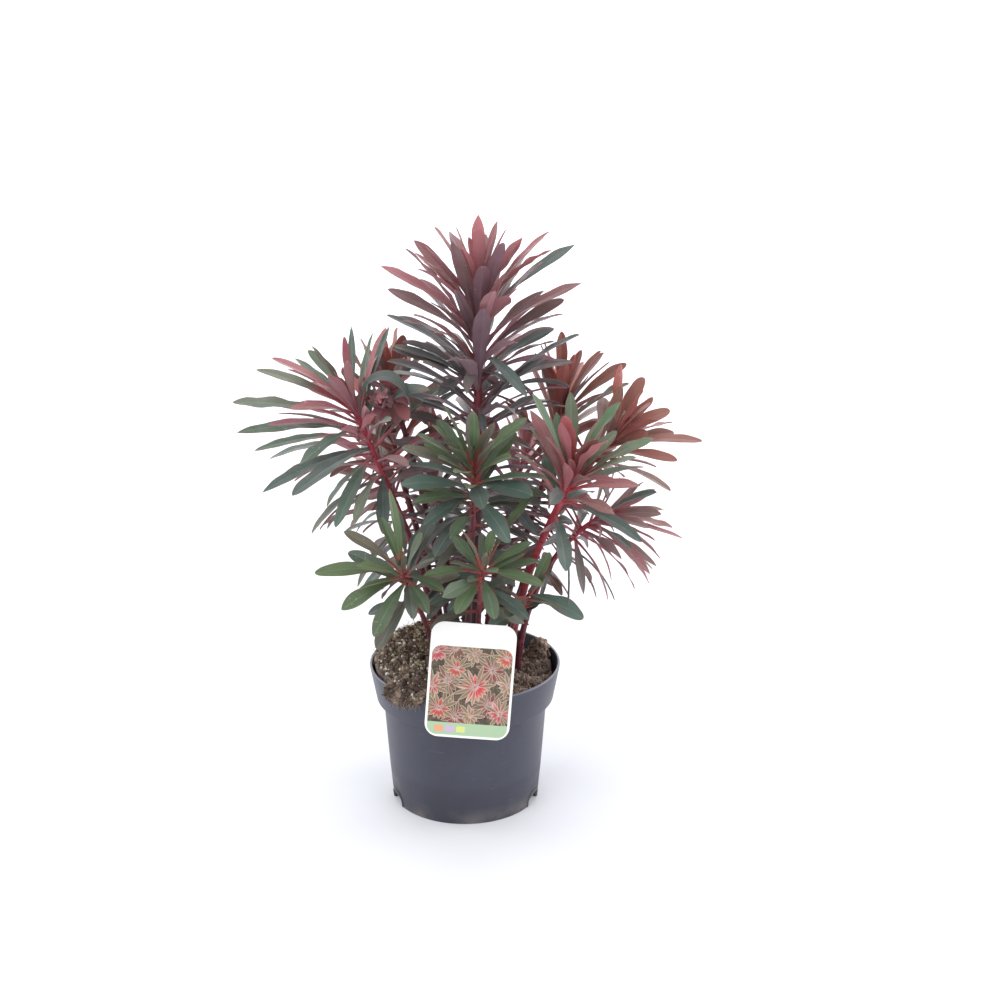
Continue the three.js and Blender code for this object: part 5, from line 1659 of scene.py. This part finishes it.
def add_tongue(skin):
    """The strip that goes from the card's back over the rim and down inside it."""
    start = LABEL["tongue_from"]
    back = LABEL["tongue_back"]
    card_at = start * math.tan(math.radians(LABEL["lean"])) - LABEL["stand_off"]
    path = [(card_at, start), (back - 2, start * 0.6), (back - 0.6, start * 0.3), (back, 0),
            (back + 3, -LABEL["tongue_depth"])]
    path = rounded(path, 5, 5)
    half, width = LABEL["thickness"] / 2, LABEL["tongue_width"] / 2
    rings = []
    for y, z in path:
        rings.append([(-width, y - half, z), (width, y - half, z), (width, y + half, z),
                      (-width, y + half, z)])
    skin.loft(to_world(rings[::-1]), WHITE, (0, 0, 0, 1))


# ---- floor and light ----


# The floor ends at the back in a bend of this radius, under a wall of this height. glow: how brightly it
# shines by itself, near the pot and far back.
FLOOR = {"front": -3000, "back": 2500, "side": 5000, "bend": 900, "steps": 12, "wall": 4200,
         "glow": (0.06, 0.8)}


def add_floor():
    """A pale floor that curves up into the backdrop."""
    profile = [(FLOOR["front"], 0), (FLOOR["back"], 0)]
    for k in range(1, FLOOR["steps"] + 1):
        turn = k / FLOOR["steps"] * math.pi / 2
        profile.append((FLOOR["back"] + FLOOR["bend"] * math.sin(turn),
                        FLOOR["bend"] * (1 - math.cos(turn))))
    profile.append((FLOOR["back"] + FLOOR["bend"], FLOOR["wall"]))
    points = [(x, y, z) for y, z in profile for x in (-FLOOR["side"], FLOOR["side"])]
    faces = [(2 * i, 2 * i + 1, 2 * i + 3, 2 * i + 2) for i in range(len(profile) - 1)]
    skin = Skin()
    skin.add(points, faces, WHITE)
    paint = Paint("studio_floor", Specular_IOR_Level=0.2, Roughness=0.8,
                  Emission_Color=(0.97, 0.98, 1.0, 1))
    space = paint.space()
    cloud = paint.noise(space, 1.5, 2.0)
    shade = paint.mix(paint.between(cloud, 0.3, 0.7), (0.66, 0.67, 0.71, 1), (0.69, 0.7, 0.74, 1))
    glow = paint.between(paint.split(space)[1], 0.2, 3.2, *FLOOR["glow"])
    paint.wear(Base_Color=shade, Emission_Strength=glow)
    skin.make("floor", [paint.material])


# Soft boxes: place, what they point at, width and height, and power. Metres and watts.
LIGHTS = {
    "key": ((-1.5, -1.9, 1.9), (0, 0, 0.3), (1.8, 1.8), 29),
    "fill": ((1.8, -1.6, 1.2), (0, 0, 0.3), (1.8, 1.8), 20),
    "left": ((-1.9, 0.5, 0.9), (0, 0, 0.3), (1.2, 1.8), 16),
    "right": ((1.9, 0.5, 0.9), (0, 0, 0.3), (1.2, 1.8), 16),
    "top": ((0, 0.2, 2.4), (0, 0, 0.3), (2.2, 2.2), 20),
    "back": ((0, 2.0, 1.4), (0, 0, 0.35), (2.4, 1.6), 18),
}


def add_lights():
    for name, (place, target, size, power) in LIGHTS.items():
        data = bpy.data.lights.new(name, "AREA")
        data.shape = "RECTANGLE"
        data.size, data.size_y = size
        data.energy = power
        light = bpy.data.objects.new(name, data)
        light.location = place
        towards = Vector(target) - Vector(place)
        light.rotation_euler = towards.to_track_quat("-Z", "Y").to_euler()
        bpy.context.collection.objects.link(light)
    world = bpy.data.worlds.new("studio")
    world.use_nodes = True
    world.node_tree.nodes["Background"].inputs[0].default_value = WHITE
    world.node_tree.nodes["Background"].inputs[1].default_value = 0.75
    bpy.context.scene.world = world
    bpy.context.scene.view_settings.view_transform = "Standard"


# ---- the whole ----


def main():
    add_camera()
    add_lights()
    add_floor()
    stem_skin = stem_paint()
    paints = {name: leaf_paint(f"{name}_leaf", *skin["leaf"]) for name, skin in SKINS.items()}
    for stem, points, leaves in leafy_shoots():
        add_shoot(stem, points, leaves, [paints[stem["mood"]], stem_skin])
    add_pot()
    add_soil()
    add_label()


main()
